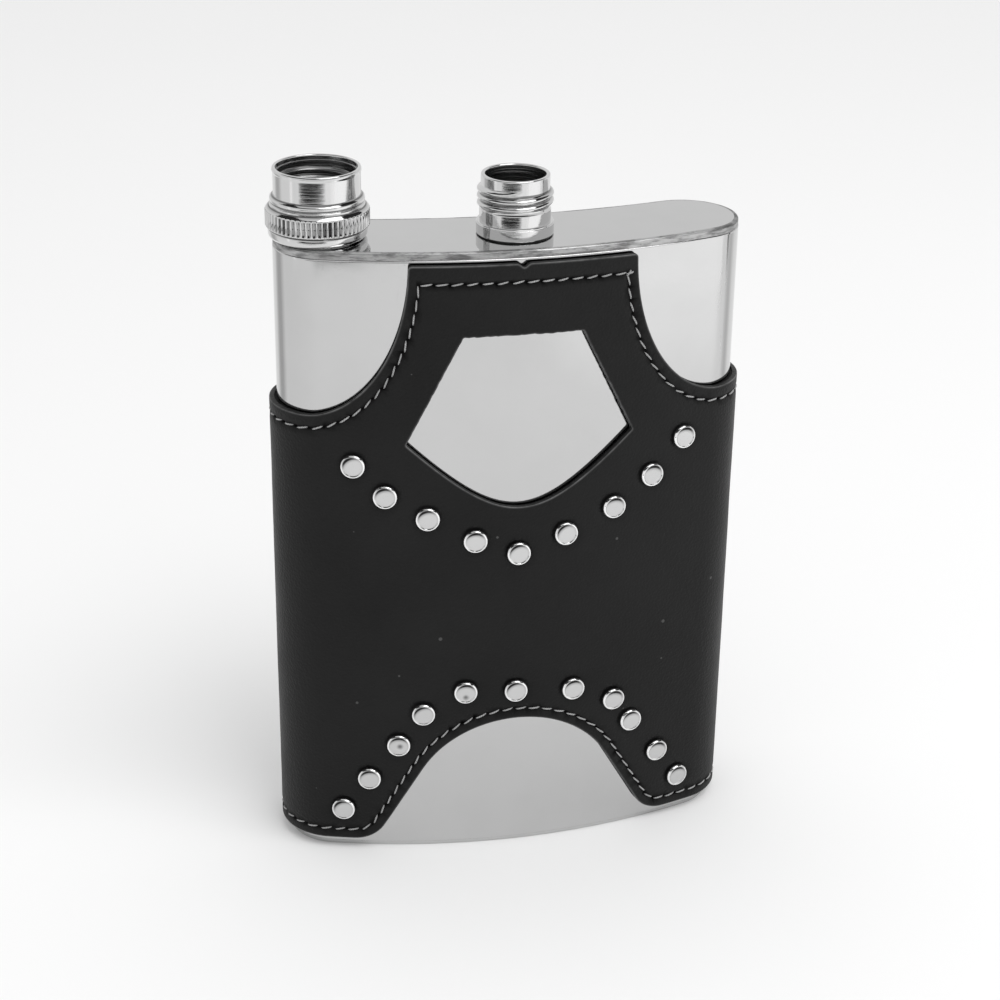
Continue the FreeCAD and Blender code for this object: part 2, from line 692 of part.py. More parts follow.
def wrap_layer(label, outer, inner):
    """One layer of the wrap with its scallops, arch, window, nick and back seam."""
    body = kidney_body(label, "wrap_low", "wrap_high", outer, inner)
    body.Placement.Base = Vector(0, 0, 0)
    body.setExpression("Placement.Base.z", None)
    base = [item for item in body.Group if item.TypeId == "Sketcher::SketchObject"][0]
    base.AttachmentOffset = FreeCAD.Placement(Vector(0, 0, dim("wrap_low")), FreeCAD.Rotation())
    doc.recompute()
    for side, word in ((1, "right"), (-1, "left")):
        cut_both_ways(body, scallop_sketch(body, label + "_" + word, side), label + "_scallop_" + word)
    arch = new_sketch(body, label + "_arch", "XZ_Plane")
    arch.addGeometry(arch_edges(), False)
    doc.recompute()
    cut_both_ways(body, arch, label + "_arch_cut")
    window = new_sketch(body, label + "_window", "XZ_Plane")
    window.addGeometry(window_edges(), False)
    doc.recompute()
    pocket(body, window, label + "_window_cut", "depth_mid + " + str(PAST), True)
    nick = new_sketch(body, label + "_nick", "XZ_Plane")
    tip_x = dim("wrap_shift") + dim("arch_drift")
    high = dim("wrap_high")
    nick.addGeometry(polygon([
        Vector(tip_x, high - dim("notch_deep"), 0),
        Vector(tip_x + dim("notch_half"), high + dim("notch_over"), 0),
        Vector(tip_x - dim("notch_half"), high + dim("notch_over"), 0),
    ]), False)
    doc.recompute()
    pocket(body, nick, label + "_nick_cut", "depth_mid + " + str(PAST), True)
    seam = new_sketch(body, label + "_seam", "XZ_Plane")
    gap = dim("seam_gap") / 2
    seam.addGeometry(polygon([
        Vector(-gap, -OVER, 0),
        Vector(gap, -OVER, 0),
        Vector(gap, high + OVER, 0),
        Vector(-gap, high + OVER, 0),
    ]), False)
    doc.recompute()
    pocket(body, seam, label + "_seam_cut", "depth_mid + " + str(PAST), False)
    return body


wrap_body = wrap_layer("wrap_whole", "lining_thick + leather_thick", "lining_thick")
lining_body = wrap_layer("lining_whole", "lining_thick", "0")

leather_face = dim("lining_thick") + dim("leather_thick")
UPPER_STUDS = (
    (-33.3, 87.7), (-27.2, 81.3), (-19.0, 76.5), (-9.7, 71.4), (-1.1, 68.1),
    (8.4, 71.5), (18.3, 76.0), (26.3, 81.7), (33.2, 88.7),
)
LOWER_STUDS = (
    (-36.3, 9.9), (-30.9, 17.4), (-24.9, 25.4), (-19.9, 32.6), (-11.4, 37.4), (-1.2, 37.0),
    (10.8, 35.9), (19.7, 31.9), (23.8, 26.0), (30.3, 17.1), (35.6, 9.5),
)


def stand_on(solid, along, height, out):
    """A copy of a solid made on +Z, stood on the wall with its +Z along the wall's normal."""
    point, normal = skin(along, height, out)
    copy = solid.copy()
    copy.Placement = FreeCAD.Placement(point, FreeCAD.Rotation(Vector(0, 0, 1), normal))
    return copy


def cylinder(radius, low, high):
    return Part.makeCylinder(radius, high - low, Vector(0, 0, low))


def with_holes(label, body, tools):
    """The finished layer: the sketched body less one hole for each stud."""
    feature = doc.addObject("Part::Feature", label)
    feature.Label = label
    feature.Shape = body.Shape.cut(tools)
    return feature


post_tool = cylinder(dim("post_rad"), -OVER / 4, OVER)
disc_tool = cylinder(dim("back_disc") + dim("disc_gap"), -OVER / 4, dim("back_thick") + 2 * dim("disc_gap"))
post_holes = [stand_on(post_tool, along, height, 0) for along, height in UPPER_STUDS + LOWER_STUDS]
pockets = [stand_on(disc_tool, along, height, 0) for along, height in UPPER_STUDS + LOWER_STUDS]
made.append(with_holes("leather_wrap", wrap_body, post_holes))
made.append(with_holes("wrap_lining", lining_body, post_holes + pockets))


def stud_head():
    """A flat-topped head with a rounded edge, standing on z = 0."""
    radius, high, edge = dim("stud_rad"), dim("stud_high"), dim("stud_edge")
    rim = Part.Arc(
        Vector(radius, 0, high - edge),
        Vector(radius - edge * (1 - math.sqrt(0.5)), 0, high - edge * (1 - math.sqrt(0.5))),
        Vector(radius - edge, 0, high),
    )
    wire = Part.Wire([
        Part.makeLine(Vector(0, 0, 0), Vector(radius, 0, 0)),
        Part.makeLine(Vector(radius, 0, 0), Vector(radius, 0, high - edge)),
        rim.toShape(),
        Part.makeLine(Vector(radius - edge, 0, high), Vector(0, 0, high)),
        Part.makeLine(Vector(0, 0, high), Vector(0, 0, 0)),
    ])
    return Part.Face(wire).revolve(Vector(0, 0, 0), Vector(0, 0, 1), 360)


def stud_back():
    """Back disc with its post, as one turned piece standing on z = 0."""
    disc = cylinder(dim("back_disc"), 0, dim("back_thick"))
    post = cylinder(dim("post_rad") - dim("post_gap"), 0, leather_face - dim("skin_gap"))
    return disc.fuse(post).removeSplitter()


def group(label, solids):
    """Many separate solids as one named node."""
    feature = doc.addObject("Part::Feature", label)
    feature.Label = label
    feature.Shape = Part.makeCompound(solids)
    return feature


head, back = stud_head(), stud_back()
for rows, word in ((UPPER_STUDS, "upper"), (LOWER_STUDS, "lower")):
    heads = [stand_on(head, along, height, leather_face + dim("stud_gap")) for along, height in rows]
    backs = [stand_on(back, along, height, dim("skin_gap")) for along, height in rows]
    made.append(group(word + "_studs", heads))
    made.append(group(word + "_stud_backs", backs))

# ---------------------------------------------------------------- stitching


def scallop_path(side, on_skin):
    """Stitch line from the side of the flask up to the top corner, as (arc length, height)."""
    middle = side * dim("scallop_x") + dim("wrap_shift")
    half = dim("scallop_half") + dim("stitch_in")
    drop = dim("scallop_drop") + dim("follow") * dim("stitch_in")
    centre = dim("scallop_z")
    path = []
    limit = math.asin((centre - dim("stitch_top")) / drop)
    for step in range(SCALLOP_STEPS + 1):
        turn = math.pi / 2 + (limit - math.pi / 2) * step / SCALLOP_STEPS
        path.append((on_skin(middle - side * half * math.cos(turn)), centre - drop * math.sin(turn)))
    return path


def arch_path(on_skin):
    """Stitch line over the bottom arch, left to right."""
    middle = dim("wrap_shift") + dim("arch_drift")
    inset = dim("stitch_low") - dim("wrap_low")
    radius, flare = dim("arch_rad") + inset, dim("arch_flare") - inset
    centre, low = dim("arch_z"), dim("stitch_low")
    slope = math.radians(dim("arch_slope"))
    lean = math.pi / 2 - slope
    touch_x = radius * math.cos(lean)
    touch_z = centre + radius * math.sin(lean)
    foot_x = touch_x + (touch_z - low) / math.tan(slope) + flare * math.tan(slope / 2)
    right = []
    for step in range(CROWN_STEPS + 1):
        turn = math.pi / 2 - (math.pi / 2 - lean) * step / CROWN_STEPS
        right.append((radius * math.cos(turn), centre + radius * math.sin(turn)))
    for step in range(FLARE_STEPS + 1):
        turn = slope - slope * step / FLARE_STEPS
        right.append((foot_x - flare * math.sin(turn), low + flare - flare * math.cos(turn)))
    left = [(-x, z) for x, z in reversed(right[1:])]
    return [(on_skin(x + middle), z) for x, z in left + right]


def walk(path, pitch):
    """Points at even steps along a path of (arc length, height), about one pitch apart."""
    legs = [(start, stop, math.dist(start, stop)) for start, stop in zip(path, path[1:])]
    total = sum(length for _, _, length in legs)
    count = round(total / pitch)
    marks = []
    passed = 0.0
    for start, stop, length in legs:
        turn = math.atan2(stop[1] - start[1], stop[0] - start[0])
        while len(marks) < count and (len(marks) + 0.5) * total / count <= passed + length:
            share = ((len(marks) + 0.5) * total / count - passed) / length
            marks.append((
                start[0] + (stop[0] - start[0]) * share,
                start[1] + (stop[1] - start[1]) * share,
                turn,
            ))
        passed += length
    return marks


def stitches(path):
    """One short round bar of thread on the leather's face at each step of the path."""
    solids = []
    half = dim("stitch_long") / 2
    out = leather_face + dim("thread_rad") + dim("thread_gap")
    for along, height, turn in walk(path, dim("stitch_pitch")):
        start, _ = skin(along - half * math.cos(turn), height - half * math.sin(turn), out)
        stop, _ = skin(along + half * math.cos(turn), height + half * math.sin(turn), out)
        solids.append(Part.makeCylinder(dim("thread_rad"), (stop - start).Length, start, stop - start))
    return solids


side_run = front_run + dim("end_rad") * (math.pi / 2 - front_turn)
low_level = dim("scallop_z") - dim("scallop_drop") - dim("follow") * dim("stitch_in")
last_run = half_run - dim("row_end")

front_top = (
    [(-side_run, low_level)]
    + scallop_path(-1, along_front)
    + list(reversed(scallop_path(1, along_front)))
    + [(side_run, low_level)]
)
right_foot, left_foot = (side_run, dim("stitch_low")), (-side_run, dim("stitch_low"))
back_right = [(side_run, low_level)] + scallop_path(1, along_back) + [(last_run, dim("stitch_top"))]
back_left = [(-side_run, low_level)] + scallop_path(-1, along_back) + [(-last_run, dim("stitch_top"))]
front_low = [left_foot] + arch_path(along_front) + [right_foot]
back_arch = arch_path(along_back)
back_low_right = [right_foot] + [place for place in reversed(back_arch) if 0 < place[0] < last_run]
back_low_left = [left_foot] + [place for place in back_arch if -last_run < place[0] < 0]

made.append(group("top_stitching_front", stitches(front_top)))
made.append(group("top_stitching_back", stitches(back_right) + stitches(back_left)))
made.append(group("bottom_stitching_front", stitches(front_low)))
made.append(group("bottom_stitching_back", stitches(back_low_right) + stitches(back_low_left)))

seam_bars = []
seam_low = dim("arch_z") + dim("arch_rad") + dim("seam_clear")
seam_count = int((dim("stitch_top") - seam_low) / dim("seam_pitch"))
for number in range(seam_count):
    height = seam_low + number * dim("seam_pitch")
    reach = dim("seam_reach")
    out = leather_face + dim("thread_rad") + dim("seam_lift")
    start, _ = skin(half_run - reach, height, out)
    stop, _ = skin(reach - half_run, height, out)
    seam_bars.append(Part.makeCylinder(dim("thread_rad"), (stop - start).Length, start, stop - start))
made.append(group("seam_stitching", seam_bars))

# ---------------------------------------------------------------- checks and files

doc.recompute()
for item in doc.Objects:
    if "Invalid" in item.State or "Error" in item.State:
        raise RuntimeError(item.Label + " did not compute: " + str(item.State))
os.makedirs("parts", exist_ok=True)
for item in made:
    if item.Shape.isNull() or not item.Shape.isValid():
        raise RuntimeError(item.Label + " has a bad shape")
    item.Shape.exportStep("parts/" + item.Label + ".step")
    box = item.Shape.BoundBox
    limits = (box.XMin, box.XMax, box.YMin, box.YMax, box.ZMin, box.ZMax)
    found = (item.Label, len(item.Shape.Solids), item.Shape.Volume)
    print("%-24s %3d solids  %9.1f mm3  x %.2f..%.2f  y %.2f..%.2f  z %.2f..%.2f" % (found + limits))
print("end centre %.3f %.3f, runs %.2f %.2f %.2f" % (end_x, end_y, front_run, end_run, back_run))
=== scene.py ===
import math
import random

import bmesh
import bpy
import numpy as np
from bpy.props import FloatProperty, FloatVectorProperty, IntProperty, PointerProperty
from mathutils import Matrix, Vector, noise
from mathutils.geometry import delaunay_2d_cdt
from mathutils.kdtree import KDTree


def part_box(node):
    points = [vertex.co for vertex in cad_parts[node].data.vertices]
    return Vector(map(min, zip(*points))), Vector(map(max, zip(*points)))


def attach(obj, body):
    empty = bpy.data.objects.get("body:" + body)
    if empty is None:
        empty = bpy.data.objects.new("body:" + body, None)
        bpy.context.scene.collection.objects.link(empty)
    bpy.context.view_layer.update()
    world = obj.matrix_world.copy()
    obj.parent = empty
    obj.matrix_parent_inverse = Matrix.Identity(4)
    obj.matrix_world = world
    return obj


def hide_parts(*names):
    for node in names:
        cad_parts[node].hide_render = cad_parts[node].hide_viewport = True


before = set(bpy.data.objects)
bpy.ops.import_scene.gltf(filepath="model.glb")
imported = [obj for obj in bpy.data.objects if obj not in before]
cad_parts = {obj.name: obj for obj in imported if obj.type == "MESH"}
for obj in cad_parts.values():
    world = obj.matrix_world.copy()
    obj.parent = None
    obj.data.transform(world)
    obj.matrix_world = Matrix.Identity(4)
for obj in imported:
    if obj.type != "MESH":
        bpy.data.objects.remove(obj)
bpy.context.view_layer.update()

bl_info = {
    "name": "Leather-wrapped hip flask",
    "version": (1, 0, 0),
    "blender": (4, 5, 0),
    "location": "3D View > Sidebar > Flask",
    "description": "Finishes a steel hip flask with a studded leather wrap round its packed frame",
    "category": "Object",
}

MM = 0.001
UP = Vector((0, 0, 1))

# An edge that turns by more than this stays a sharp line.
SHARP = math.radians(38)
STEEL_SHARP = math.radians(60)
THREAD_SHARP = math.radians(50)
GRIP_SHARP = math.radians(55)
LEATHER_SHARP = math.radians(50)

# Steps of each arc of the outline, and how near two points are before they count as one.
ARC_STEPS = 48
LOOP_JOIN = 0.02 * MM
LATHE_JOIN = 0.002 * MM

# How much of a turn a thread takes to rise from nothing, and how full its ridge is.
THREAD_FADE = 0.14
THREAD_ROUND = 0.65


# ---------------------------------------------------------------- settings

def length(name, description, millimetres):
    """A size in metres, given in millimetres."""
    return FloatProperty(name=name, description=description, default=millimetres * MM,
                         subtype="DISTANCE", unit="LENGTH", precision=5)


def colour(name, description, level):
    """A neutral colour."""
    return FloatVectorProperty(name=name, description=description, default=(level, level, level),
                               subtype="COLOR", size=3, min=0.0, max=1.0)


class FlaskSteel(bpy.types.PropertyGroup):
    """Sizes of the steel flask that its box doesn't give."""

    front_rad: length("Front radius", "Radius of the convex front wall", 126.2)
    back_rad: length("Back radius", "Radius of the hollow back wall", 153.3)
    end_rad: length("End radius", "Radius of the rounded ends", 10.34)
    depth: length("Depth", "Depth of the body at its middle", 22.37)
    wall: length("Wall", "Thickness of the wall sheet", 0.6)
    edge: length("Edge", "Rounding of the wall's edges", 0.22)
    plate_rim: length("Plate rim", "Width of the top plate's turned-down rim", 1.0)
    plate_thick: length("Plate", "Thickness of the top plate", 0.7)
    plate_edge: length("Plate edge", "Rounding of the top plate's ground edge", 0.5)
    tint: colour("Steel", "Colour of the polished steel", 0.56)
    ground: colour("Ground steel", "Colour of the ground weld round the top plate", 0.40)


class FlaskNeck(bpy.types.PropertyGroup):
    """Sizes of the screw neck."""

    bore: length("Bore", "Inner radius of the neck", 5.8)
    root: length("Root", "Radius of the neck at the rim and under the thread", 6.6)
    crest: length("Crest", "Radius of the thread's crest", 7.35)
    land: length("Land", "Radius of the smooth land under the thread", 6.85)
    land_rise: length("Land height", "Height of the land's end over the plate", 5.2)
    thread_rise: length("Thread height", "Height of the thread's upper end over the plate", 9.85)
    pitch: length("Pitch", "Pitch of the thread", 1.4)
    turns: FloatProperty(name="Turns", description="Turns of the neck's thread", default=2.75)
    ridge: length("Ridge", "Half width of a thread ridge at its foot", 0.66)


class FlaskCap(bpy.types.PropertyGroup):
    """Sizes of the screw cap, which stands upside down."""

    skirt: length("Skirt", "Outer radius of the skirt", 8.3)
    skirt_inner: length("Skirt inside", "Inner radius of the skirt", 7.68)
    lip: length("Lip", "Radius of the rolled mouth", 8.46)
    sleeve_root: length("Sleeve root", "Root radius of the inside thread", 7.5)
    sleeve_crest: length("Sleeve crest", "Crest radius of the inside thread", 6.95)
    bead: length("Bead", "Radius of the lower bead", 9.45)
    grip: length("Grip", "Radius of the fluted band", 9.95)
    step: length("Step", "Radius of the upper bead", 9.0)
    flutes: IntProperty(name="Flutes", description="Flutes round the grip band", default=60)
    flute_rad: length("Flute radius", "Radius of one flute", 0.42)
    flute_depth: length("Flute depth", "Depth of one flute", 0.42)


class FlaskWrap(bpy.types.PropertyGroup):
    """The leather's pattern and its details."""

    lining: length("Lining", "Thickness of the lining", 0.5)
    lining_in: length("Lining set-in", "How far the lining stays inside the leather's edges", 0.35)
    leather: length("Leather", "Thickness of the leather", 1.0)
    shift: length("Shift", "Sideways offset of the whole pattern", -0.5)
    seam_gap: length("Seam gap", "Open seam at the middle of the back", 0.4)
    scallop_x: length("Scallop place", "Distance of a scallop's centre from the middle", 41.6)
    scallop_half: length("Scallop width", "Half width of a scallop", 19.6)
    scallop_drop: length("Scallop depth", "Depth of a scallop", 30.3)
    scallop_z: length("Scallop height", "Height of a scallop's centre", 128.1)
    window_top: length("Window top", "Height of the window's top edge", 114.0)
    window_side: length("Window side", "Height of the window's side corners", 92.1)
    window_low: length("Window foot", "Height of the window's lowest point", 78.1)
    window_half_top: length("Window top width", "Half width of the window's top edge", 11.5)
    window_half: length("Window width", "Half width at the side corners", 22.3)
    window_round: length("Window roundness", "Roundness of the window's lower edge", 14.0)
    arch_rad: length("Arch radius", "Radius of the bottom arch", 22.0)
    arch_z: length("Arch height", "Height of the arch's centre", 8.4)
    arch_flare: length("Arch flare", "Radius where the arch runs out", 7.0)
    notch_half: length("Nick width", "Half width of the nick in the top edge", 1.15)
    notch_deep: length("Nick depth", "Depth of the nick in the top edge", 0.9)
    corner: length("Corner", "Rounding of the pattern's corners", 0.9)
    cell: length("Cell", "Mesh size of the leather's face", 1.25)
    dye: colour("Leather dye", "Colour of the leather", 0.0042)
    # Lighter colour at the leather's cut edges: burnished edges, lightened further as a painted highlight.
    rubbed_and_highlight: colour("Rubbed leather", "Colour of the leather's rubbed edges", 0.16)
    lining_tint: colour("Lining", "Colour of the lining", 0.008)


class FlaskStitching(bpy.types.PropertyGroup):
    """Thread and stitch sizes."""

    pitch: length("Pitch", "Distance from stitch to stitch", 2.8)
    long: length("Stitch", "Length of one stitch", 2.3)
    thread: length("Thread", "Radius of the thread", 0.17)
    inset: length("Inset", "Distance of the stitches from the scallops' edge", 2.1)
    low: length("Bottom row", "Height of the bottom stitches", 4.7)
    top: length("Top row", "Height of the stitches along the top edge", 124.6)
    seam_pitch: length("Seam pitch", "Distance between the back seam's stitches", 4.2)
    seam_reach: length("Seam reach", "Half width of the back seam's stitches", 1.6)
    channel: length("Channel", "How deep the row is drawn into the leather", 0.2)
    hole: length("Needle hole", "Depth of a needle hole", 0.45)
    slant: FloatProperty(name="Slant", description="Slant of a stitch to its row",
                         default=math.radians(10), subtype="ANGLE", unit="ROTATION")
    tint: colour("Thread", "Colour of the thread", 0.45)


class FlaskStuds(bpy.types.PropertyGroup):
    """Sizes of the studs' heads."""

    radius: length("Radius", "Radius of a stud's head", 2.48)
    high: length("Height", "Height of a stud's head", 0.86)
    dish: length("Dish", "Depth of the flat face under the rim", 0.16)
    press: length("Press", "How deep a stud draws the leather in", 0.32)
    tint: colour("Nickel", "Colour of the studs", 0.60)


class FlaskStage(bpy.types.PropertyGroup):
    """Camera, floor and lights."""

    lens: FloatProperty(name="Lens", description="Focal length in millimetres", default=80.3,
                        subtype="DISTANCE_CAMERA")
    camera_at: FloatVectorProperty(name="Camera", description="Where the camera stands",
                                   default=(-0.0929, -0.3984, 0.2629), subtype="XYZ",
                                   unit="LENGTH", precision=4)
    azimuth: FloatProperty(name="Azimuth", description="Heading of the camera's back",
                           default=math.radians(-12.83), subtype="ANGLE", unit="ROTATION")
    elevation: FloatProperty(name="Elevation", description="How far the camera looks down",
                             default=math.radians(24.81), subtype="ANGLE", unit="ROTATION")
    roll: FloatProperty(name="Roll", description="Tilt of the camera about its view",
                        default=math.radians(0.8), subtype="ANGLE", unit="ROTATION")
    floor: colour("Floor", "Colour of the floor", 0.90)
    surround: colour("Surround", "Colour of the light all round", 0.86)


# ---------------------------------------------------------------- the kidney outline

class Kidney:
    """The flask's outline: a convex front, a hollow back and two round ends, all tangent.

    A place on the wall is an arc length from the middle of the front, positive to the right,
    and a height.
    """

    def __init__(self, steel):
        self.front_rad = steel.front_rad
        self.back_rad = steel.back_rad
        self.end_rad = steel.end_rad
        self.front_y = steel.front_rad - steel.depth / 2
        self.back_y = steel.back_rad + steel.depth / 2
        to_front = steel.front_rad - steel.end_rad
        to_back = steel.back_rad + steel.end_rad
        rise = to_front ** 2 - to_back ** 2 - self.front_y ** 2 + self.back_y ** 2
        self.end_y = rise / (2 * (self.back_y - self.front_y))
        self.end_x = math.sqrt(to_front ** 2 - (self.end_y - self.front_y) ** 2)
        self.front_turn = math.atan2(self.end_x, self.front_y - self.end_y)
        self.back_turn = math.atan2(self.end_x, self.back_y - self.end_y)
        self.end_turn = math.pi - self.front_turn + self.back_turn
        self.front_run = self.front_rad * self.front_turn
        self.end_run = self.end_rad * self.end_turn
        self.half_run = self.front_run + self.end_run + self.back_rad * self.back_turn

    def place(self, along, height, out=0.0):
        """Point on the wall, or 'out' in front of it, and the outward normal there."""
        side = 1.0 if along >= 0 else -1.0
        run = abs(along)
        if run <= self.front_run:
            turn = run / self.front_rad
            normal = Vector((math.sin(turn), -math.cos(turn), 0))
            base = Vector((0, self.front_y, height)) + normal * self.front_rad
        elif run <= self.front_run + self.end_run:
            turn = self.front_turn + (run - self.front_run) / self.end_rad
            normal = Vector((math.sin(turn), -math.cos(turn), 0))
            base = Vector((self.end_x, self.end_y, height)) + normal * self.end_rad
        else:
            turn = (self.half_run - run) / self.back_rad
            normal = Vector((-math.sin(turn), math.cos(turn), 0))
            base = Vector((0, self.back_y, height)) - normal * self.back_rad
        point = base + normal * out
        return Vector((side * point.x, point.y, point.z)), Vector((side * normal.x, normal.y, 0))

    def outward(self, x, y):
        """Outward normal of the outline that passes through a point."""
        side = 1.0 if x >= 0 else -1.0
        turn = math.atan2(abs(x) - self.end_x, self.end_y - y) % (2 * math.pi)
        if self.front_turn <= turn <= math.pi + self.back_turn:
            normal = Vector((math.sin(turn), -math.cos(turn), 0))
        elif y < self.end_y:
            normal = Vector((abs(x), y - self.front_y, 0)).normalized()
        else:
            normal = Vector((-abs(x), self.back_y - y, 0)).normalized()
        return Vector((side * normal.x, normal.y, 0))

    def on_end(self, reach, turn):
        """Arc length on a round end for a sideways distance and a way to read its angle."""
        bend = math.asin(min(1.0, (reach - self.end_x) / self.end_rad))
        return self.front_run + self.end_rad * (turn(bend) - self.front_turn)

    def front(self, x):
        """Arc length on the front for a sideways distance from the middle."""
        if abs(x) <= self.front_rad * math.sin(self.front_turn):
            return self.front_rad * math.asin(x / self.front_rad)
        return math.copysign(self.on_end(abs(x), lambda bend: bend), x)

    def back(self, x):
        """Arc length on the back for a sideways distance from the middle."""
        if abs(x) <= self.back_rad * math.sin(self.back_turn):
            return math.copysign(self.half_run - self.back_rad * math.asin(abs(x) / self.back_rad), x)
        return math.copysign(self.on_end(abs(x), lambda bend: math.pi - bend), x)

    def side(self):
        """Arc length from the middle of the front to the widest point."""
        return self.front_run + self.end_rad * (math.pi / 2 - self.front_turn)


def kidney():
    """The outline for the steel's present sizes."""
    return Kidney(bpy.context.scene.flask_steel)


# ---------------------------------------------------------------- mesh helpers

def to_mesh(name, bm):
    """Turn a bmesh into a mesh, and free it."""
    mesh = bpy.data.meshes.new(name)
    bm.to_mesh(mesh)
    bm.free()
    return mesh


def to_object(name, data):
    """Put a mesh, a camera or a lamp into the scene."""
    item = bpy.data.objects.new(name, data)
    bpy.context.scene.collection.objects.link(item)
    return item


def finish_piece(bm, name, material, body, replaces=(), sharp=SHARP, even=False):
    """Turn a bmesh into a finished piece that rides on a body and stands for its CAD nodes."""
    for face in bm.faces:
        face.smooth = True
    for edge in bm.edges:
        if len(edge.link_faces) == 2 and edge.calc_face_angle(0.0) > sharp:
            edge.smooth = False
    piece = to_object(name, to_mesh(name, bm))
    for item in material if isinstance(material, tuple) else (material,):
        piece.data.materials.append(item)
    if even:
        shading = piece.modifiers.new("Even faces", "WEIGHTED_NORMAL")
        shading.mode = "FACE_AREA"
        shading.weight = 100
        shading.keep_sharp = True
    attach(piece, body)
    if replaces:
        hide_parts(*replaces)
    return piece


def bell(distance, width):
    """1 at a distance of 0, and soon nothing past a width."""
    return math.exp(-(distance / width) ** 2)


def edges_among(verts):
    """Edges whose two ends are both in a set of vertices."""
    chosen = set(verts)
    touching = {edge for vert in chosen for edge in vert.link_edges}
    return [edge for edge in touching if all(vert in chosen for vert in edge.verts)]


def new_verts(result, key="geom"):
    """The vertices that a bmesh operator made."""
    return [item for item in result[key] if isinstance(item, bmesh.types.BMVert)]


def kidney_loop(bm, outline, out, height):
    """One closed kidney of edges at a height: four arcs spun from a single vertex."""
    start, _ = outline.place(-outline.front_run, height, out)
    first = len(bm.verts)
    last = bm.verts.new(start)
    arcs = (
        ((0, outline.front_y), 2 * outline.front_turn),
        ((outline.end_x, outline.end_y), outline.end_turn),
        ((0, outline.back_y), -2 * outline.back_turn),
        ((-outline.end_x, outline.end_y), outline.end_turn),
    )
    for centre, angle in arcs:
        middle = (*centre, height)
        spun = bmesh.ops.spin(bm, geom=[last], cent=middle, axis=UP, angle=angle, steps=ARC_STEPS)
        last = new_verts(spun, "geom_last")[0]
    bm.verts.ensure_lookup_table()
    bmesh.ops.remove_doubles(bm, verts=bm.verts[first:], dist=LOOP_JOIN)
    bm.verts.ensure_lookup_table()
    return bm.verts[first:]


def kidney_stack(bm, outline, profile):
    """Walls stacked from one kidney to the next through (out, height) pairs; gives every loop."""
    loops = [kidney_loop(bm, outline, *profile[0])]
    for (out, height), (next_out, next_height) in zip(profile, profile[1:]):
        result = bmesh.ops.extrude_edge_only(bm, edges=edges_among(loops[-1]))
        fresh = new_verts(result)
        for vert in fresh:
            vert.co += outline.outward(vert.co.x, vert.co.y) * (next_out - out)
            vert.co.z += next_height - height
        loops.append(fresh)
    return loops


def bend(start, corner, stop, share):
    """A point on the soft curve that rounds a corner."""
    return start * (1 - share) ** 2 + corner * 2 * share * (1 - share) + stop * share ** 2


def rounded(corners, steps=4):
    """A (radius, height) profile whose corners (radius, height, rounding) are made round."""
    path = []
    for number, (x, z, soft) in enumerate(corners):
        here = Vector((x, z))
        if soft <= 0 or number in (0, len(corners) - 1):
            path.append(here)
            continue
        before = (Vector(corners[number - 1][:2]) - here).normalized()
        after = (Vector(corners[number + 1][:2]) - here).normalized()
        for step in range(steps + 1):
            path.append(bend(here + before * soft, here, here + after * soft, step / steps))
    return path


def lathe(bm, corners, centre=(0, 0, 0), closed=False, sides=96, steps=4):
    """Spin a profile of (radius, height, rounding) about an upright axis."""
    path = rounded(corners, steps)
    verts = [bm.verts.new((centre[0] + p.x, centre[1], centre[2] + p.y)) for p in path]
    edges = [bm.edges.new(pair) for pair in zip(verts, verts[1:])]
    if closed:
        edges.append(bm.edges.new((verts[-1], verts[0])))
    bmesh.ops.spin(bm, geom=verts + edges, cent=centre, axis=UP, angle=2 * math.pi, steps=sides,
                   use_merge=True)
    bmesh.ops.remove_doubles(bm, verts=bm.verts, dist=LATHE_JOIN)
    bmesh.ops.recalc_face_normals(bm, faces=bm.faces)


def even_rows(radius, low, high, gap):
    """Profile points at even heights, for a stretch of wall that gets a thread."""
    count = max(1, round((high - low) / gap))
    return [(radius, low + (high - low) * step / count, 0) for step in range(count + 1)]


def thread_height(angle, height, low, pitch, turns, ridge):
    """0 to 1: how much of a screw ridge stands at an angle and height."""
    best = 0.0
    turn = (angle % (2 * math.pi)) / (2 * math.pi)
    for lap in range(int(turns) + 2):
        passed = turn + lap
        away = abs(height - low - pitch * passed) / ridge
        if 0 <= passed <= turns and away < 1:
            fade = min(1.0, passed / THREAD_FADE, (turns - passed) / THREAD_FADE)
            best = max(best, math.cos(away * math.pi / 2) ** THREAD_ROUND * fade)
    return best


# ---------------------------------------------------------------- shader helpers

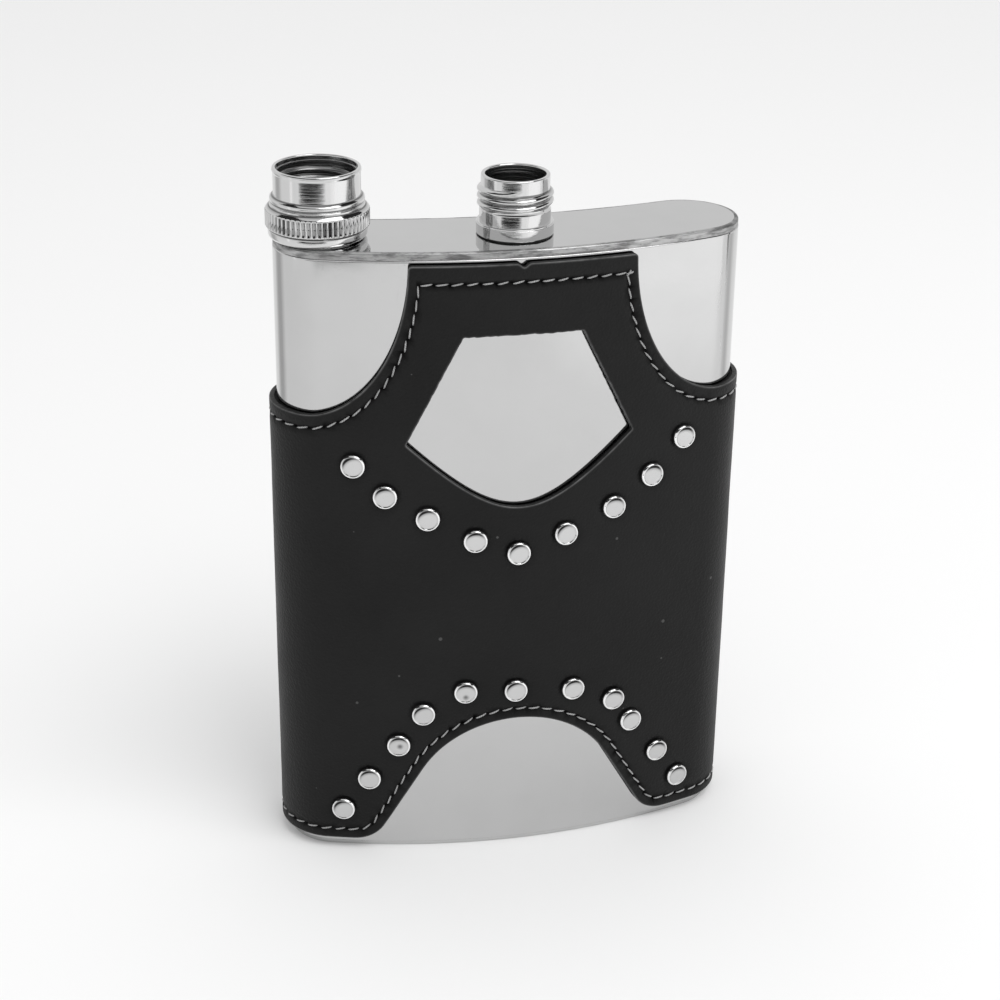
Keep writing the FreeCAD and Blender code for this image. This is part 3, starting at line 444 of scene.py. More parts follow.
class Net:
    """A node tree with short calls for what the materials repeat."""

    def __init__(self, tree):
        self.tree = tree

    def node(self, kind, **values):
        """A new node with its settings."""
        node = self.tree.nodes.new(kind)
        for key, item in values.items():
            setattr(node, key, item)
        return node

    def put(self, socket, item):
        """Link a socket, or set a plain value."""
        if isinstance(item, bpy.types.NodeSocket):
            self.tree.links.new(item, socket)
        elif socket.type == "RGBA" and len(item) == 3:
            socket.default_value = (*item, 1.0)
        else:
            socket.default_value = item

    def math(self, operation, *items, clamp=False):
        """A sum or product of values, or another plain operation."""
        node = self.node("ShaderNodeMath", operation=operation, use_clamp=clamp)
        for socket, item in zip(node.inputs, items):
            self.put(socket, item)
        return node.outputs[0]

    def remap(self, item, low, high, to_low=0.0, to_high=1.0, smooth=False):
        """A value from one range put into another, and held at its ends."""
        node = self.node("ShaderNodeMapRange", interpolation_type="SMOOTHSTEP" if smooth else "LINEAR")
        for socket, value in zip(node.inputs, (item, low, high, to_low, to_high)):
            self.put(socket, value)
        return node.outputs[0]

    def mix(self, factor, one, two):
        """One colour that goes over to another."""
        node = self.node("ShaderNodeMix", data_type="RGBA")
        self.put(node.inputs["Factor"], factor)
        self.put(node.inputs[6], one)
        self.put(node.inputs[7], two)
        return node.outputs[2]

    def coords(self, scale=(1, 1, 1), turn=(0, 0, 0)):
        """Object coordinates, turned and stretched."""
        place = self.node("ShaderNodeTexCoord")
        return self.stretch(place.outputs["Object"], scale, turn)

    def stretch(self, vector, scale=(1, 1, 1), turn=(0, 0, 0)):
        """A place turned first and then stretched, so that a streak keeps its shape."""
        mapping = self.node("ShaderNodeMapping", vector_type="TEXTURE")
        self.put(mapping.inputs["Vector"], vector)
        mapping.inputs["Scale"].default_value = tuple(1 / part for part in scale)
        mapping.inputs["Rotation"].default_value = turn
        return mapping.outputs[0]

    def noise(self, vector, scale, detail=3.0, rough=0.5):
        """Soft clouds from 0 to 1."""
        node = self.node("ShaderNodeTexNoise")
        self.put(node.inputs["Vector"], vector)
        self.put(node.inputs["Scale"], scale)
        node.inputs["Detail"].default_value = detail
        node.inputs["Roughness"].default_value = rough
        return node.outputs["Fac"]

    def cells(self, vector, scale):
        """A node of scattered cells, with each cell's distance and colour."""
        node = self.node("ShaderNodeTexVoronoi", feature="F1")
        self.put(node.inputs["Vector"], vector)
        self.put(node.inputs["Scale"], scale)
        return node

    def attribute(self, name):
        """A value that a piece's own mesh carries."""
        return self.node("ShaderNodeAttribute", attribute_name=name).outputs["Fac"]

    def bump(self, height, distance):
        """A normal from a height, with its depth in metres."""
        node = self.node("ShaderNodeBump")
        self.put(node.inputs["Height"], height)
        node.inputs["Distance"].default_value = distance
        node.inputs["Strength"].default_value = 1.0
        return node.outputs[0]

    def surface(self, shader, tone, rough, height, distance, **plain):
        """Feed a shader its colour, roughness and relief, and set its plain values."""
        self.put(shader.inputs["Base Color"], tone)
        self.put(shader.inputs["Roughness"], rough)
        self.put(shader.inputs["Normal"], self.bump(height, distance))
        for key, value in plain.items():
            shader.inputs[key.replace("_", " ")].default_value = value

    def use(self, group, **values):
        """Place a shared effect with its own values; underscores stand for spaces."""
        node = self.node("ShaderNodeGroup", node_tree=group)
        for key, item in values.items():
            self.put(node.inputs[key.replace("_", " ")], item)
        return node.outputs


PLACE = ("Vector", (0, 0, 0))


def scaled(tint, share):
    """A colour made darker or lighter."""
    return tuple(min(1.0, level * share) for level in tint)


def effect(name, inputs, outputs):
    """An empty node group with its net and ends, or the one that is already there and no net."""
    tree = bpy.data.node_groups.get(name)
    if tree:
        return tree, None, None, None
    tree = bpy.data.node_groups.new(name, "ShaderNodeTree")
    for label, value in inputs:
        kind = "NodeSocketVector" if isinstance(value, tuple) else "NodeSocketFloat"
        tree.interface.new_socket(label, in_out="INPUT", socket_type=kind).default_value = value
    for label in outputs:
        tree.interface.new_socket(label, in_out="OUTPUT", socket_type="NodeSocketFloat")
    net = Net(tree)
    return tree, net, net.node("NodeGroupInput").outputs, net.node("NodeGroupOutput").inputs


def hairlines():
    """Fine scratches in two directions over a soft cloud of handling marks."""
    tree, net, given, out = effect("Hairline scratches", (PLACE, ("Density", 1.0)), ("Lines", "Film"))
    if net:
        density = net.math("MULTIPLY", given["Density"], 2400.0)
        lines = []
        for turn in ((0.0, 0.22, 0.4), (0.0, -0.5, 1.3), (0.9, 0.1, 0.2)):
            across = net.stretch(given["Vector"], (1.0, 1.0, 0.06), turn)
            lines.append(net.remap(net.noise(across, density, 2.0), 0.64, 0.76, 0.0, 0.7))
        patch = net.remap(net.noise(given["Vector"], 90.0, 2.0), 0.42, 0.68)
        both = net.math("MAXIMUM", net.math("MAXIMUM", lines[0], lines[1]), lines[2])
        net.put(out["Lines"], net.math("MULTIPLY", both, patch))
        net.put(out["Film"], net.remap(net.noise(given["Vector"], 42.0, 4.0, 0.6), 0.35, 0.72, smooth=True))
    return tree


def grain():
    """Leather grain: small irregular cells, creases between them, and pores."""
    tree, net, given, out = effect("Leather grain", (PLACE, ("Scale", 1500.0)), ("Height", "Pores"))
    if net:
        warp = net.noise(given["Vector"], net.math("MULTIPLY", given["Scale"], 0.4), 2.0)
        same = net.node("ShaderNodeCombineXYZ")
        for socket in same.inputs:
            net.put(socket, warp)
        moved = net.node("ShaderNodeVectorMath", operation="MULTIPLY_ADD")
        net.put(moved.inputs[0], same.outputs[0])
        moved.inputs[1].default_value = (0.0004, 0.0004, 0.0004)
        net.put(moved.inputs[2], given["Vector"])
        cells = net.cells(moved.outputs[0], given["Scale"])
        rounds = net.remap(cells.outputs["Distance"], 0.1, 0.75, 1.0, 0.0, smooth=True)
        fine = net.noise(given["Vector"], net.math("MULTIPLY", given["Scale"], 2.6), 3.0)
        net.put(out["Height"], net.math("ADD", rounds, net.math("MULTIPLY", fine, 0.5)))
        dots = net.cells(given["Vector"], net.math("MULTIPLY", given["Scale"], 0.55))
        net.put(out["Pores"], net.remap(dots.outputs["Distance"], 0.06, 0.16, 1.0, 0.0))
    return tree


def specks():
    """Scattered dust: a few small dots and short lint, at random places."""
    tree, net, given, out = effect("Dust specks", (PLACE, ("Scale", 420.0), ("Share", 0.06)), ("Dust",))
    if net:
        dots = net.cells(given["Vector"], given["Scale"])
        spread = net.node("ShaderNodeSeparateColor")
        net.put(spread.inputs[0], dots.outputs["Color"])
        chosen = net.math("LESS_THAN", spread.outputs[0], given["Share"])
        size = net.remap(spread.outputs[1], 0.0, 1.0, 0.05, 0.16)
        near = net.math("LESS_THAN", dots.outputs["Distance"], size)
        net.put(out["Dust"], net.math("MULTIPLY", chosen, near))
    return tree


def rubbing_and_highlight():
    """Burnish and a painted highlight from a piece's own 'edge' attribute, broken up so that it isn't even.
    """
    tree, net, given, out = effect("Rubbed edges", (PLACE, ("Amount", 1.0)), ("Wear_and_highlight",))
    if net:
        broken = net.remap(net.noise(given["Vector"], 260.0, 4.0, 0.65), 0.3, 0.62)
        edge = net.math("MULTIPLY", net.attribute("edge"), given["Amount"])
        uneven = net.math("MULTIPLY_ADD", broken, 0.7, 0.3)
        net.put(out["Wear_and_highlight"], net.math("MULTIPLY", edge, uneven, clamp=True))
    return tree


def new_material(name):
    """An empty material, its net and its Principled shader."""
    material = bpy.data.materials.new(name)
    material.use_nodes = True
    net = Net(material.node_tree)
    return material, net, material.node_tree.nodes["Principled BSDF"]


def metal(name, tint, rough, ripple, density=1.0, ripple_scale=55.0):
    """Polished metal with hairlines, handling film and the faint ripple of pressed sheet."""
    material, net, shader = new_material(name)
    here = net.coords()
    marks = net.use(hairlines(), Vector=here, Density=density)
    film = net.remap(marks["Film"], 0.0, 1.0, rough, rough * 1.9)
    height = net.math("MULTIPLY_ADD", marks["Lines"], -0.02, net.noise(here, ripple_scale, 2.0))
    share = net.math("MULTIPLY_ADD", marks["Lines"], 0.35, net.math("MULTIPLY", marks["Film"], 0.4))
    # painted highlight: places marked 'edge', the studs' rims, come out lighter
    tone = net.mix(net.attribute("edge"), net.mix(share, tuple(tint), scaled(tint, 0.9)), scaled(tint, 1.5))
    # darker where marked 'groove': the studs' painted dark reflection arc, and their dents
    tone = net.mix(net.attribute("groove"), tone, scaled(tint, 0.03))
    worn = net.math("MULTIPLY_ADD", marks["Lines"], 0.10, film)
    net.surface(shader, tone, worn, height, ripple, Metallic=1.0)
    return material


def polished_steel():
    """The wall, the base and the flat of the top plate."""
    return metal("Polished steel", bpy.context.scene.flask_steel.tint, 0.045, 0.00006)


def turned_steel():
    """The neck and the cap, polished on a lathe: fine rings round the axis."""
    material, net, shader = new_material("Turned steel")
    marks = net.use(hairlines(), Vector=net.coords(), Density=1.4)
    rings = net.noise(net.coords((60.0, 60.0, 9000.0)), 1.0, 2.0)
    tint = bpy.context.scene.flask_steel.tint
    tone = net.mix(marks["Lines"], scaled(tint, 1.12), tuple(tint))
    # painted shade: darker where marked 'groove', between the neck's thread ridges and in the grip's
    # hollows and flutes
    tone = net.mix(net.attribute("groove"), tone, scaled(tint, 0.04))
    film = net.remap(marks["Film"], 0.0, 1.0, 0.05, 0.11)
    rough = net.math("MULTIPLY_ADD", marks["Lines"], 0.12, film)
    net.surface(shader, tone, rough, rings, 0.000007, Metallic=1.0)
    return material


def ground_steel():
    """The weld round the top plate, ground by hand: short streaks along it and dull blotches."""
    material, net, shader = new_material("Ground steel")
    tint = bpy.context.scene.flask_steel.ground
    dark = scaled(tint, 0.42)
    streaks = net.noise(net.coords((0.22, 0.22, 2.4)), 2300.0, 4.0, 0.6)
    blotches = net.noise(net.coords((0.4, 0.4, 1.9)), 620.0, 4.0, 0.65)
    pits = net.cells(net.coords((0.5, 0.5, 1.0)), 900.0)
    pitted = net.remap(pits.outputs["Distance"], 0.04, 0.16, 1.0, 0.0)
    tone = net.mix(net.remap(blotches, 0.4, 0.56), dark, scaled(tint, 1.12))
    tone = net.mix(net.remap(streaks, 0.35, 0.65, 0.0, 0.4), tone, tuple(tint))
    tone = net.mix(net.math("MULTIPLY", pitted, 0.5), tone, dark)
    height = net.math("MULTIPLY_ADD", streaks, 0.5, net.math("MULTIPLY_ADD", pitted, -0.5, blotches))
    net.surface(shader, tone, net.remap(blotches, 0.3, 0.7, 0.5, 0.28), height, 0.00008, Metallic=1.0)
    return material


def nickel():
    """The studs' plated heads."""
    return metal("Nickel studs", bpy.context.scene.flask_studs.tint, 0.06, 0.00002, 1.6, 260.0)


def insert_steel():
    """Dull plated steel of the cap's inside thread and the neck's bore."""
    material, net, shader = new_material("Cap insert")
    tint = scaled(bpy.context.scene.flask_steel.tint, 0.85)
    marks = net.use(hairlines(), Vector=net.coords(), Density=2.0)
    turned = net.remap(net.noise(net.coords((40.0, 40.0, 2600.0)), 1.0, 2.0), 0.42, 0.6)
    tone = net.mix(turned, scaled(tint, 0.35), tint)
    tone = net.mix(net.math("MULTIPLY", marks["Film"], 0.3), tone, scaled(tint, 0.7))
    # darker where marked 'groove', between the sleeve's thread ridges
    tone = net.mix(net.attribute("groove"), tone, scaled(tint, 0.1))
    net.surface(shader, tone, net.remap(turned, 0.0, 1.0, 0.34, 0.2), turned, 0.00002, Metallic=1.0)
    return material


def black_leather():
    """Smooth dyed leather: fine grain, pores, burnished cut edges with a painted highlight, pressed rings,
    and needle holes and rows darkened as painted shade.
    """
    material, net, shader = new_material("Black leather")
    wrap = bpy.context.scene.flask_wrap
    here = net.coords()
    fine = net.use(grain(), Vector=here, Scale=1700.0)
    dust = net.use(specks(), Vector=here, Scale=360.0, Share=0.05)
    worn = net.use(rubbing_and_highlight(), Vector=here, Amount=1.0)
    clouds = net.noise(here, 38.0, 5.0, 0.6)
    creases = net.remap(net.noise(net.coords((1.0, 1.0, 0.35)), 120.0, 5.0, 0.7), 0.47, 0.5, smooth=True)
    tone = net.mix(net.remap(clouds, 0.35, 0.7), scaled(wrap.dye, 0.55), scaled(wrap.dye, 1.7))
    tone = net.mix(net.math("MULTIPLY", fine["Pores"], 0.6), tone, (0.001, 0.001, 0.001))
    # burnished cut edges with a painted highlight along their rounded corner
    tone = net.mix(worn["Wear_and_highlight"], tone, tuple(wrap.rubbed_and_highlight))
    tone = net.mix(net.math("MULTIPLY", dust["Dust"], 0.35), tone, (0.16, 0.16, 0.16))
    # painted shade: needle holes and rows made near black, and metallic there so that they lose their sheen
    tone = net.mix(net.attribute("hole"), tone, (0.0004, 0.0004, 0.0004))
    net.put(shader.inputs["Metallic"], net.attribute("hole"))
    rough = net.remap(clouds, 0.3, 0.7, 0.42, 0.56)
    rough = net.math("MULTIPLY_ADD", worn["Wear_and_highlight"], -0.12, rough)
    rough = net.math("MULTIPLY_ADD", net.attribute("hole"), 0.3, rough)
    height = net.math("MULTIPLY_ADD", creases, 0.35, fine["Height"])
    height = net.math("MULTIPLY_ADD", fine["Pores"], -0.7, height)
    net.surface(shader, tone, rough, height, 0.000035, Specular_IOR_Level=0.21)
    return material


def lining_leather():
    """Split leather with its nap, a little lighter than the face."""
    material, net, shader = new_material("Lining leather")
    wrap = bpy.context.scene.flask_wrap
    here = net.coords()
    fine = net.use(grain(), Vector=here, Scale=2600.0)
    worn = net.use(rubbing_and_highlight(), Vector=here, Amount=0.4)
    nap = net.noise(here, 2400.0, 4.0, 0.7)
    tone = net.mix(net.remap(nap, 0.35, 0.65), scaled(wrap.lining_tint, 0.5), scaled(wrap.lining_tint, 1.6))
    # burnished cut edges with a painted highlight, weaker than on the face leather
    tone = net.mix(worn["Wear_and_highlight"], tone, tuple(wrap.rubbed_and_highlight))
    rough = net.remap(fine["Height"], 0.0, 1.4, 0.78, 0.95)
    height = net.math("ADD", nap, fine["Height"])
    net.surface(shader, tone, rough, height, 0.00006, Specular_IOR_Level=0.2)
    return material


def waxed_thread():
    """Off-white waxed thread: plies that wind along each stitch with painted shade between them, and a
    little dirt in patches.
    """
    material, net, shader = new_material("Waxed thread")
    tint = tuple(bpy.context.scene.flask_stitching.tint)
    place = net.node("ShaderNodeUVMap", uv_map="Stitch")
    split = net.node("ShaderNodeSeparateXYZ")
    net.put(split.inputs[0], place.outputs[0])
    wind = net.math("MULTIPLY_ADD", split.outputs[0], 5.0, net.math("MULTIPLY", split.outputs[1], 3.0))
    ply = net.math("SINE", net.math("MULTIPLY", wind, 2 * math.pi))
    fuzz = net.noise(net.coords(), 5200.0, 3.0)
    grime_and_shade = net.noise(net.coords(), 130.0, 3.0)
    # painted shade: darker where the winding dips between plies
    tone = net.mix(net.remap(ply, -1.0, 0.2), scaled(tint, 0.45), tint)
    tone = net.mix(net.remap(grime_and_shade, 0.42, 0.7, 0.0, 0.55), tone, scaled(tint, 0.55))
    rough = net.remap(fuzz, 0.3, 0.7, 0.62, 0.85)
    height = net.math("MULTIPLY_ADD", fuzz, 0.6, ply)
    net.surface(shader, tone, rough, height, 0.00004, Sheen_Weight=0.25, Specular_IOR_Level=0.3)
    return material


def black_rubber():
    """The neck's washer and the cap's sealing disc."""
    material, net, shader = new_material("Black rubber")
    here = net.coords()
    dust = net.use(specks(), Vector=here, Scale=900.0, Share=0.12)
    fine = net.use(grain(), Vector=here, Scale=5200.0)
    tone = net.mix(net.math("MULTIPLY", dust["Dust"], 0.4), (0.006, 0.006, 0.006), (0.1, 0.1, 0.1))
    net.surface(shader, tone, net.remap(fine["Height"], 0.0, 1.4, 0.5, 0.68), fine["Height"], 0.00001)
    return material


FINISHES = {
    "polished_steel": polished_steel,
    "turned_steel": turned_steel,
    "ground_steel": ground_steel,
    "nickel_studs": nickel,
    "cap_insert": insert_steel,
    "black_leather": black_leather,
    "lining_leather": lining_leather,
    "thread": waxed_thread,
    "black_rubber": black_rubber,
}
made_finishes = {}


def finish(name):
    """A material by its short name, made once."""
    if name not in made_finishes:
        made_finishes[name] = FINISHES[name]()
    return made_finishes[name]


# ---------------------------------------------------------------- steel

# The middle of a rounded sheet edge, as a share of its rounding, and how far the weld runs on to the plate.
EDGE_CUT = 0.3
PLATE_EDGE_STEPS = 5
WELD_PAST_EDGE = 0.35 * MM

# The neck: its lip as a share of its wall, where its thread ends, and the painted shade between its ridges.
LIP_SHARE = 0.42
NECK_THREAD_END = 0.62 * MM
NECK_THREAD_SHADE = 0.75


def fill_flat(bm, *loops):
    """A flat face inside one loop, or between two."""
    edges = [edge for loop in loops for edge in edges_among(loop)]
    bmesh.ops.triangle_fill(bm, use_beauty=True, use_dissolve=False, edges=edges)


def build_wall():
    """The pressed wall: a closed tube of sheet with rounded edges."""
    steel = bpy.context.scene.flask_steel
    low, high = (corner.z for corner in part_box("body_wall"))
    edge, wall = steel.edge, steel.wall
    cut = edge * EDGE_CUT
    bm = bmesh.new()
    profile = [
        (-edge, low), (-cut, low + cut), (0, low + edge), (0, low + 2 * edge),
        (0, high - 2 * edge), (0, high - edge), (-cut, high - cut), (-edge, high),
        (-wall, high), (-wall, low),
    ]
    loops = kidney_stack(bm, kidney(), profile)
    bmesh.ops.bridge_loops(bm, edges=edges_among(loops[0]) + edges_among(loops[-1]))
    bmesh.ops.recalc_face_normals(bm, faces=bm.faces)
    finish_piece(bm, "flask_wall", finish("polished_steel"), "flask", ("body_wall",),
                 sharp=STEEL_SHARP, even=True)


def build_base():
    """The flat base plate, set in a little from the wall."""
    steel = bpy.context.scene.flask_steel
    low, high = (corner.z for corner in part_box("bottom_plate"))
    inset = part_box("body_wall")[1].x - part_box("bottom_plate")[1].x
    edge = steel.edge
    cut = edge * EDGE_CUT
    bm = bmesh.new()
    profile = [
        (-inset - 3 * edge, low), (-inset - edge, low), (-inset - cut, low + cut),
        (-inset, low + edge), (-inset, high), (-inset - edge, high),
    ]
    loops = kidney_stack(bm, kidney(), profile)
    for loop in (loops[0], loops[-1]):
        fill_flat(bm, loop)
    bmesh.ops.recalc_face_normals(bm, faces=bm.faces)
    finish_piece(bm, "flask_base", finish("polished_steel"), "flask", ("bottom_plate",),
                 sharp=STEEL_SHARP, even=True)


def build_top():
    """The top plate: a flat mirror with a ground weld round its edge and a hole for the neck."""
    steel = bpy.context.scene.flask_steel
    neck = bpy.context.scene.flask_neck
    low, high = (corner.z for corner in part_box("top_plate"))
    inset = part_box("body_wall")[1].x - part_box("top_plate")[1].x
    edge = steel.plate_edge
    pan = high - steel.plate_thick
    bm = bmesh.new()
    rim = -inset - steel.plate_rim
    profile = [(rim, pan), (rim, low), (-inset, low), (-inset, high - edge)]
    for step in range(1, PLATE_EDGE_STEPS + 1):
        turn = step / PLATE_EDGE_STEPS * math.pi / 2
        profile.append((-inset - edge * (1 - math.cos(turn)), high - edge * (1 - math.sin(turn))))
    profile.append((-inset - edge - WELD_PAST_EDGE, high))
    loops = kidney_stack(bm, kidney(), profile)
    welded = len(bm.faces)
    circles = []
    for height in (high, pan):
        result = bmesh.ops.create_circle(bm, segments=64, radius=neck.land,
                                         matrix=Matrix.Translation((0, 0, height)))
        circles.append(result["verts"])
    fill_flat(bm, loops[-1], circles[0])
    fill_flat(bm, loops[0], circles[1])
    bmesh.ops.bridge_loops(bm, edges=edges_among(circles[0]) + edges_among(circles[1]))
    bmesh.ops.recalc_face_normals(bm, faces=bm.faces)
    bm.faces.ensure_lookup_table()
    for face in bm.faces[:welded]:
        face.material_index = 1 if face.calc_center_median().z > low else 0
    finishes = (finish("polished_steel"), finish("ground_steel"))
    finish_piece(bm, "flask_top", finishes, "flask", ("top_plate",),
                 sharp=STEEL_SHARP, even=True)


def build_neck():
    """The turned neck with its rolled thread and its flange under the plate."""
    neck = bpy.context.scene.flask_neck
    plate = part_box("top_plate")[1].z
    low_corner, high_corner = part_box("threaded_neck")
    flange = high_corner.x
    flange_top = plate - bpy.context.scene.flask_steel.plate_thick
    rim = high_corner.z
    wall = neck.root - neck.bore
    lip = wall * LIP_SHARE
    row = 0.1 * MM
    band_low = plate + neck.land_rise + 3 * row
    band_high = plate + neck.thread_rise + 3.5 * row
    rows = even_rows(neck.root, band_low, band_high, row)
    profile = [
        (neck.bore, low_corner.z, 0), (flange, low_corner.z, row), (flange, flange_top, row),
        (neck.land, flange_top, 0), (neck.land, plate + neck.land_rise - 1.5 * row, row), *rows,
        (neck.root, rim - lip, 0), (neck.root, rim, lip * 0.95),
        (neck.bore, rim, lip), (neck.bore, rim - 2 * lip, 0),
    ]
    bm = bmesh.new()
    lathe(bm, profile, closed=True, sides=128)
    groove = bm.verts.layers.float.new("groove")
    thread_high = plate + neck.thread_rise - NECK_THREAD_END
    thread_low = thread_high - neck.pitch * neck.turns
    for vert in bm.verts:
        reach = Vector((vert.co.x, vert.co.y, 0))
        if band_low - 2 * row < vert.co.z < band_high + 2 * row and reach.length > neck.bore + wall / 2:
            angle = math.atan2(reach.y, reach.x)
            grow = thread_height(angle, vert.co.z, thread_low, neck.pitch, neck.turns, neck.ridge)
            vert.co += reach.normalized() * grow * (neck.crest - neck.root)
            between = thread_low + 4 * row < vert.co.z < thread_high - 2 * row
            # painted shade: the neck is darker between the thread's ridges
            vert[groove] = NECK_THREAD_SHADE * (1 - grow) ** 2 if between else 0.0
    for face in bm.faces:
        middle = face.calc_center_median()
        in_bore = math.hypot(middle.x, middle.y) < neck.bore + wall / 4 and middle.z < rim - lip
        face.material_index = int(in_bore)
    finishes = (finish("turned_steel"), finish("cap_insert"))
    finish_piece(bm, "screw_neck", finishes, "flask", ("threaded_neck",),
                 sharp=THREAD_SHARP)


def build_collar():
    """The collar round the neck's foot: a stepped top and a rounded lower edge."""
    low_corner, high_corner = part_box("neck_collar")
    inner, outer = bpy.context.scene.flask_neck.land, high_corner.x
    low, high = low_corner.z, high_corner.z
    step, soft = 0.12 * MM, 0.05 * MM
    profile = [
        (inner, low, 0), (outer, low, 0.14 * MM), (outer, high - 0.32 * MM, soft),
        (outer - 0.1 * MM, high - 0.26 * MM, 0.04 * MM), (outer - step, high, step), (inner, high, 0),
    ]
    bm = bmesh.new()
    lathe(bm, profile, closed=True, sides=96)
    finish_piece(bm, "collar", finish("turned_steel"), "flask", ("neck_collar",), even=True)


# ---------------------------------------------------------------- the cap

# The threaded sleeve: rows of its mesh, its play in the skirt, and its thread.
SLEEVE_ROWS = 70
SLEEVE_CLEAR = 0.01 * MM
SLEEVE_THREAD_LOW = 1.2 * MM
SLEEVE_TURNS = 5.0
SLEEVE_RIDGE = 0.75
# How much darker the sleeve is drawn between its thread's ridges.
SLEEVE_ROOT_DARKENING = 0.2

# The fluted band: its height and ends, the painted shade in its hollows and its flutes, and the painted
# dark reflection that deepens the flutes of two stretches.
BAND_LOW, BAND_HIGH = 2.45 * MM, 5.65 * MM
BAND_END = 0.3 * MM
HOLLOW_SHADE = 0.85
HOLLOW_WIDTH = 0.12 * MM
FLUTE_SHADE = 0.4
STRETCH_REFLECTION_SHADE = 0.58
DARK_REFLECTION_TURNS = ((-141, 12), (-84, 13))


def cap_place():
    """The middle of the cap's foot."""
    low_corner, high_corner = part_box("cap_end_disc")
    middle = (low_corner + high_corner) / 2
    return (middle.x, middle.y, low_corner.z)


def build_cap_skirt():
    """The drawn shell with its rolled mouth."""
    cap = bpy.context.scene.flask_cap
    x, y, foot = cap_place()
    low, high = (corner.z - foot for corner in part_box("cap_shell"))
    roll = cap.lip - cap.skirt
    profile = [
        (cap.skirt_inner, low, 0), (cap.skirt, low, 0.1 * MM), (cap.skirt, high - 0.95 * MM, 0.1 * MM),
        (cap.lip - roll * 0.2, high - 0.72 * MM, 0.12 * MM), (cap.lip, high - 0.4 * MM, 0.16 * MM),
        (cap.lip - roll, high, 0.2 * MM), (cap.skirt_inner + 0.1 * MM, high, 0.16 * MM),
        (cap.skirt_inner, high - 0.35 * MM, 0.08 * MM),
    ]
    bm = bmesh.new()
    lathe(bm, profile, (x, y, foot), closed=True, sides=112)
    finish_piece(bm, "cap_skirt", finish("turned_steel"), "cap", ("cap_shell",), even=True)


def build_cap_insert():
    """The threaded sleeve inside the skirt."""
    cap = bpy.context.scene.flask_cap
    neck = bpy.context.scene.flask_neck
    x, y, foot = cap_place()
    low, high = (corner.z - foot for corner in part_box("cap_thread_sleeve"))
    end = 0.1 * MM
    root, outer = cap.sleeve_root, cap.skirt_inner - SLEEVE_CLEAR
    rows = [(root, high - end - (high - low - 2 * end) * row / SLEEVE_ROWS, 0)
            for row in range(SLEEVE_ROWS + 1)]
    profile = [(outer, low, 0), (outer, high, 0), (root, high, 0), *rows, (root, low, 0)]
    bm = bmesh.new()
    lathe(bm, profile, (x, y, foot), closed=True, sides=96)
    groove = bm.verts.layers.float.new("groove")
    for vert in bm.verts:
        reach = Vector((vert.co.x - x, vert.co.y - y, 0))
        height = vert.co.z - foot
        if reach.length < (outer + root) / 2 and low + end < height < high - end / 2:
            angle = math.atan2(reach.y, reach.x)
            grow = thread_height(angle, height, low + SLEEVE_THREAD_LOW, neck.pitch, SLEEVE_TURNS,
                                 SLEEVE_RIDGE * neck.ridge)
            # darker between the ridges
            vert[groove] = SLEEVE_ROOT_DARKENING * (1 - grow)
            vert.co -= reach.normalized() * grow * (root - cap.sleeve_crest)
    finish_piece(bm, "cap_insert", finish("cap_insert"), "cap", ("cap_thread_sleeve",),
                 sharp=THREAD_SHARP)


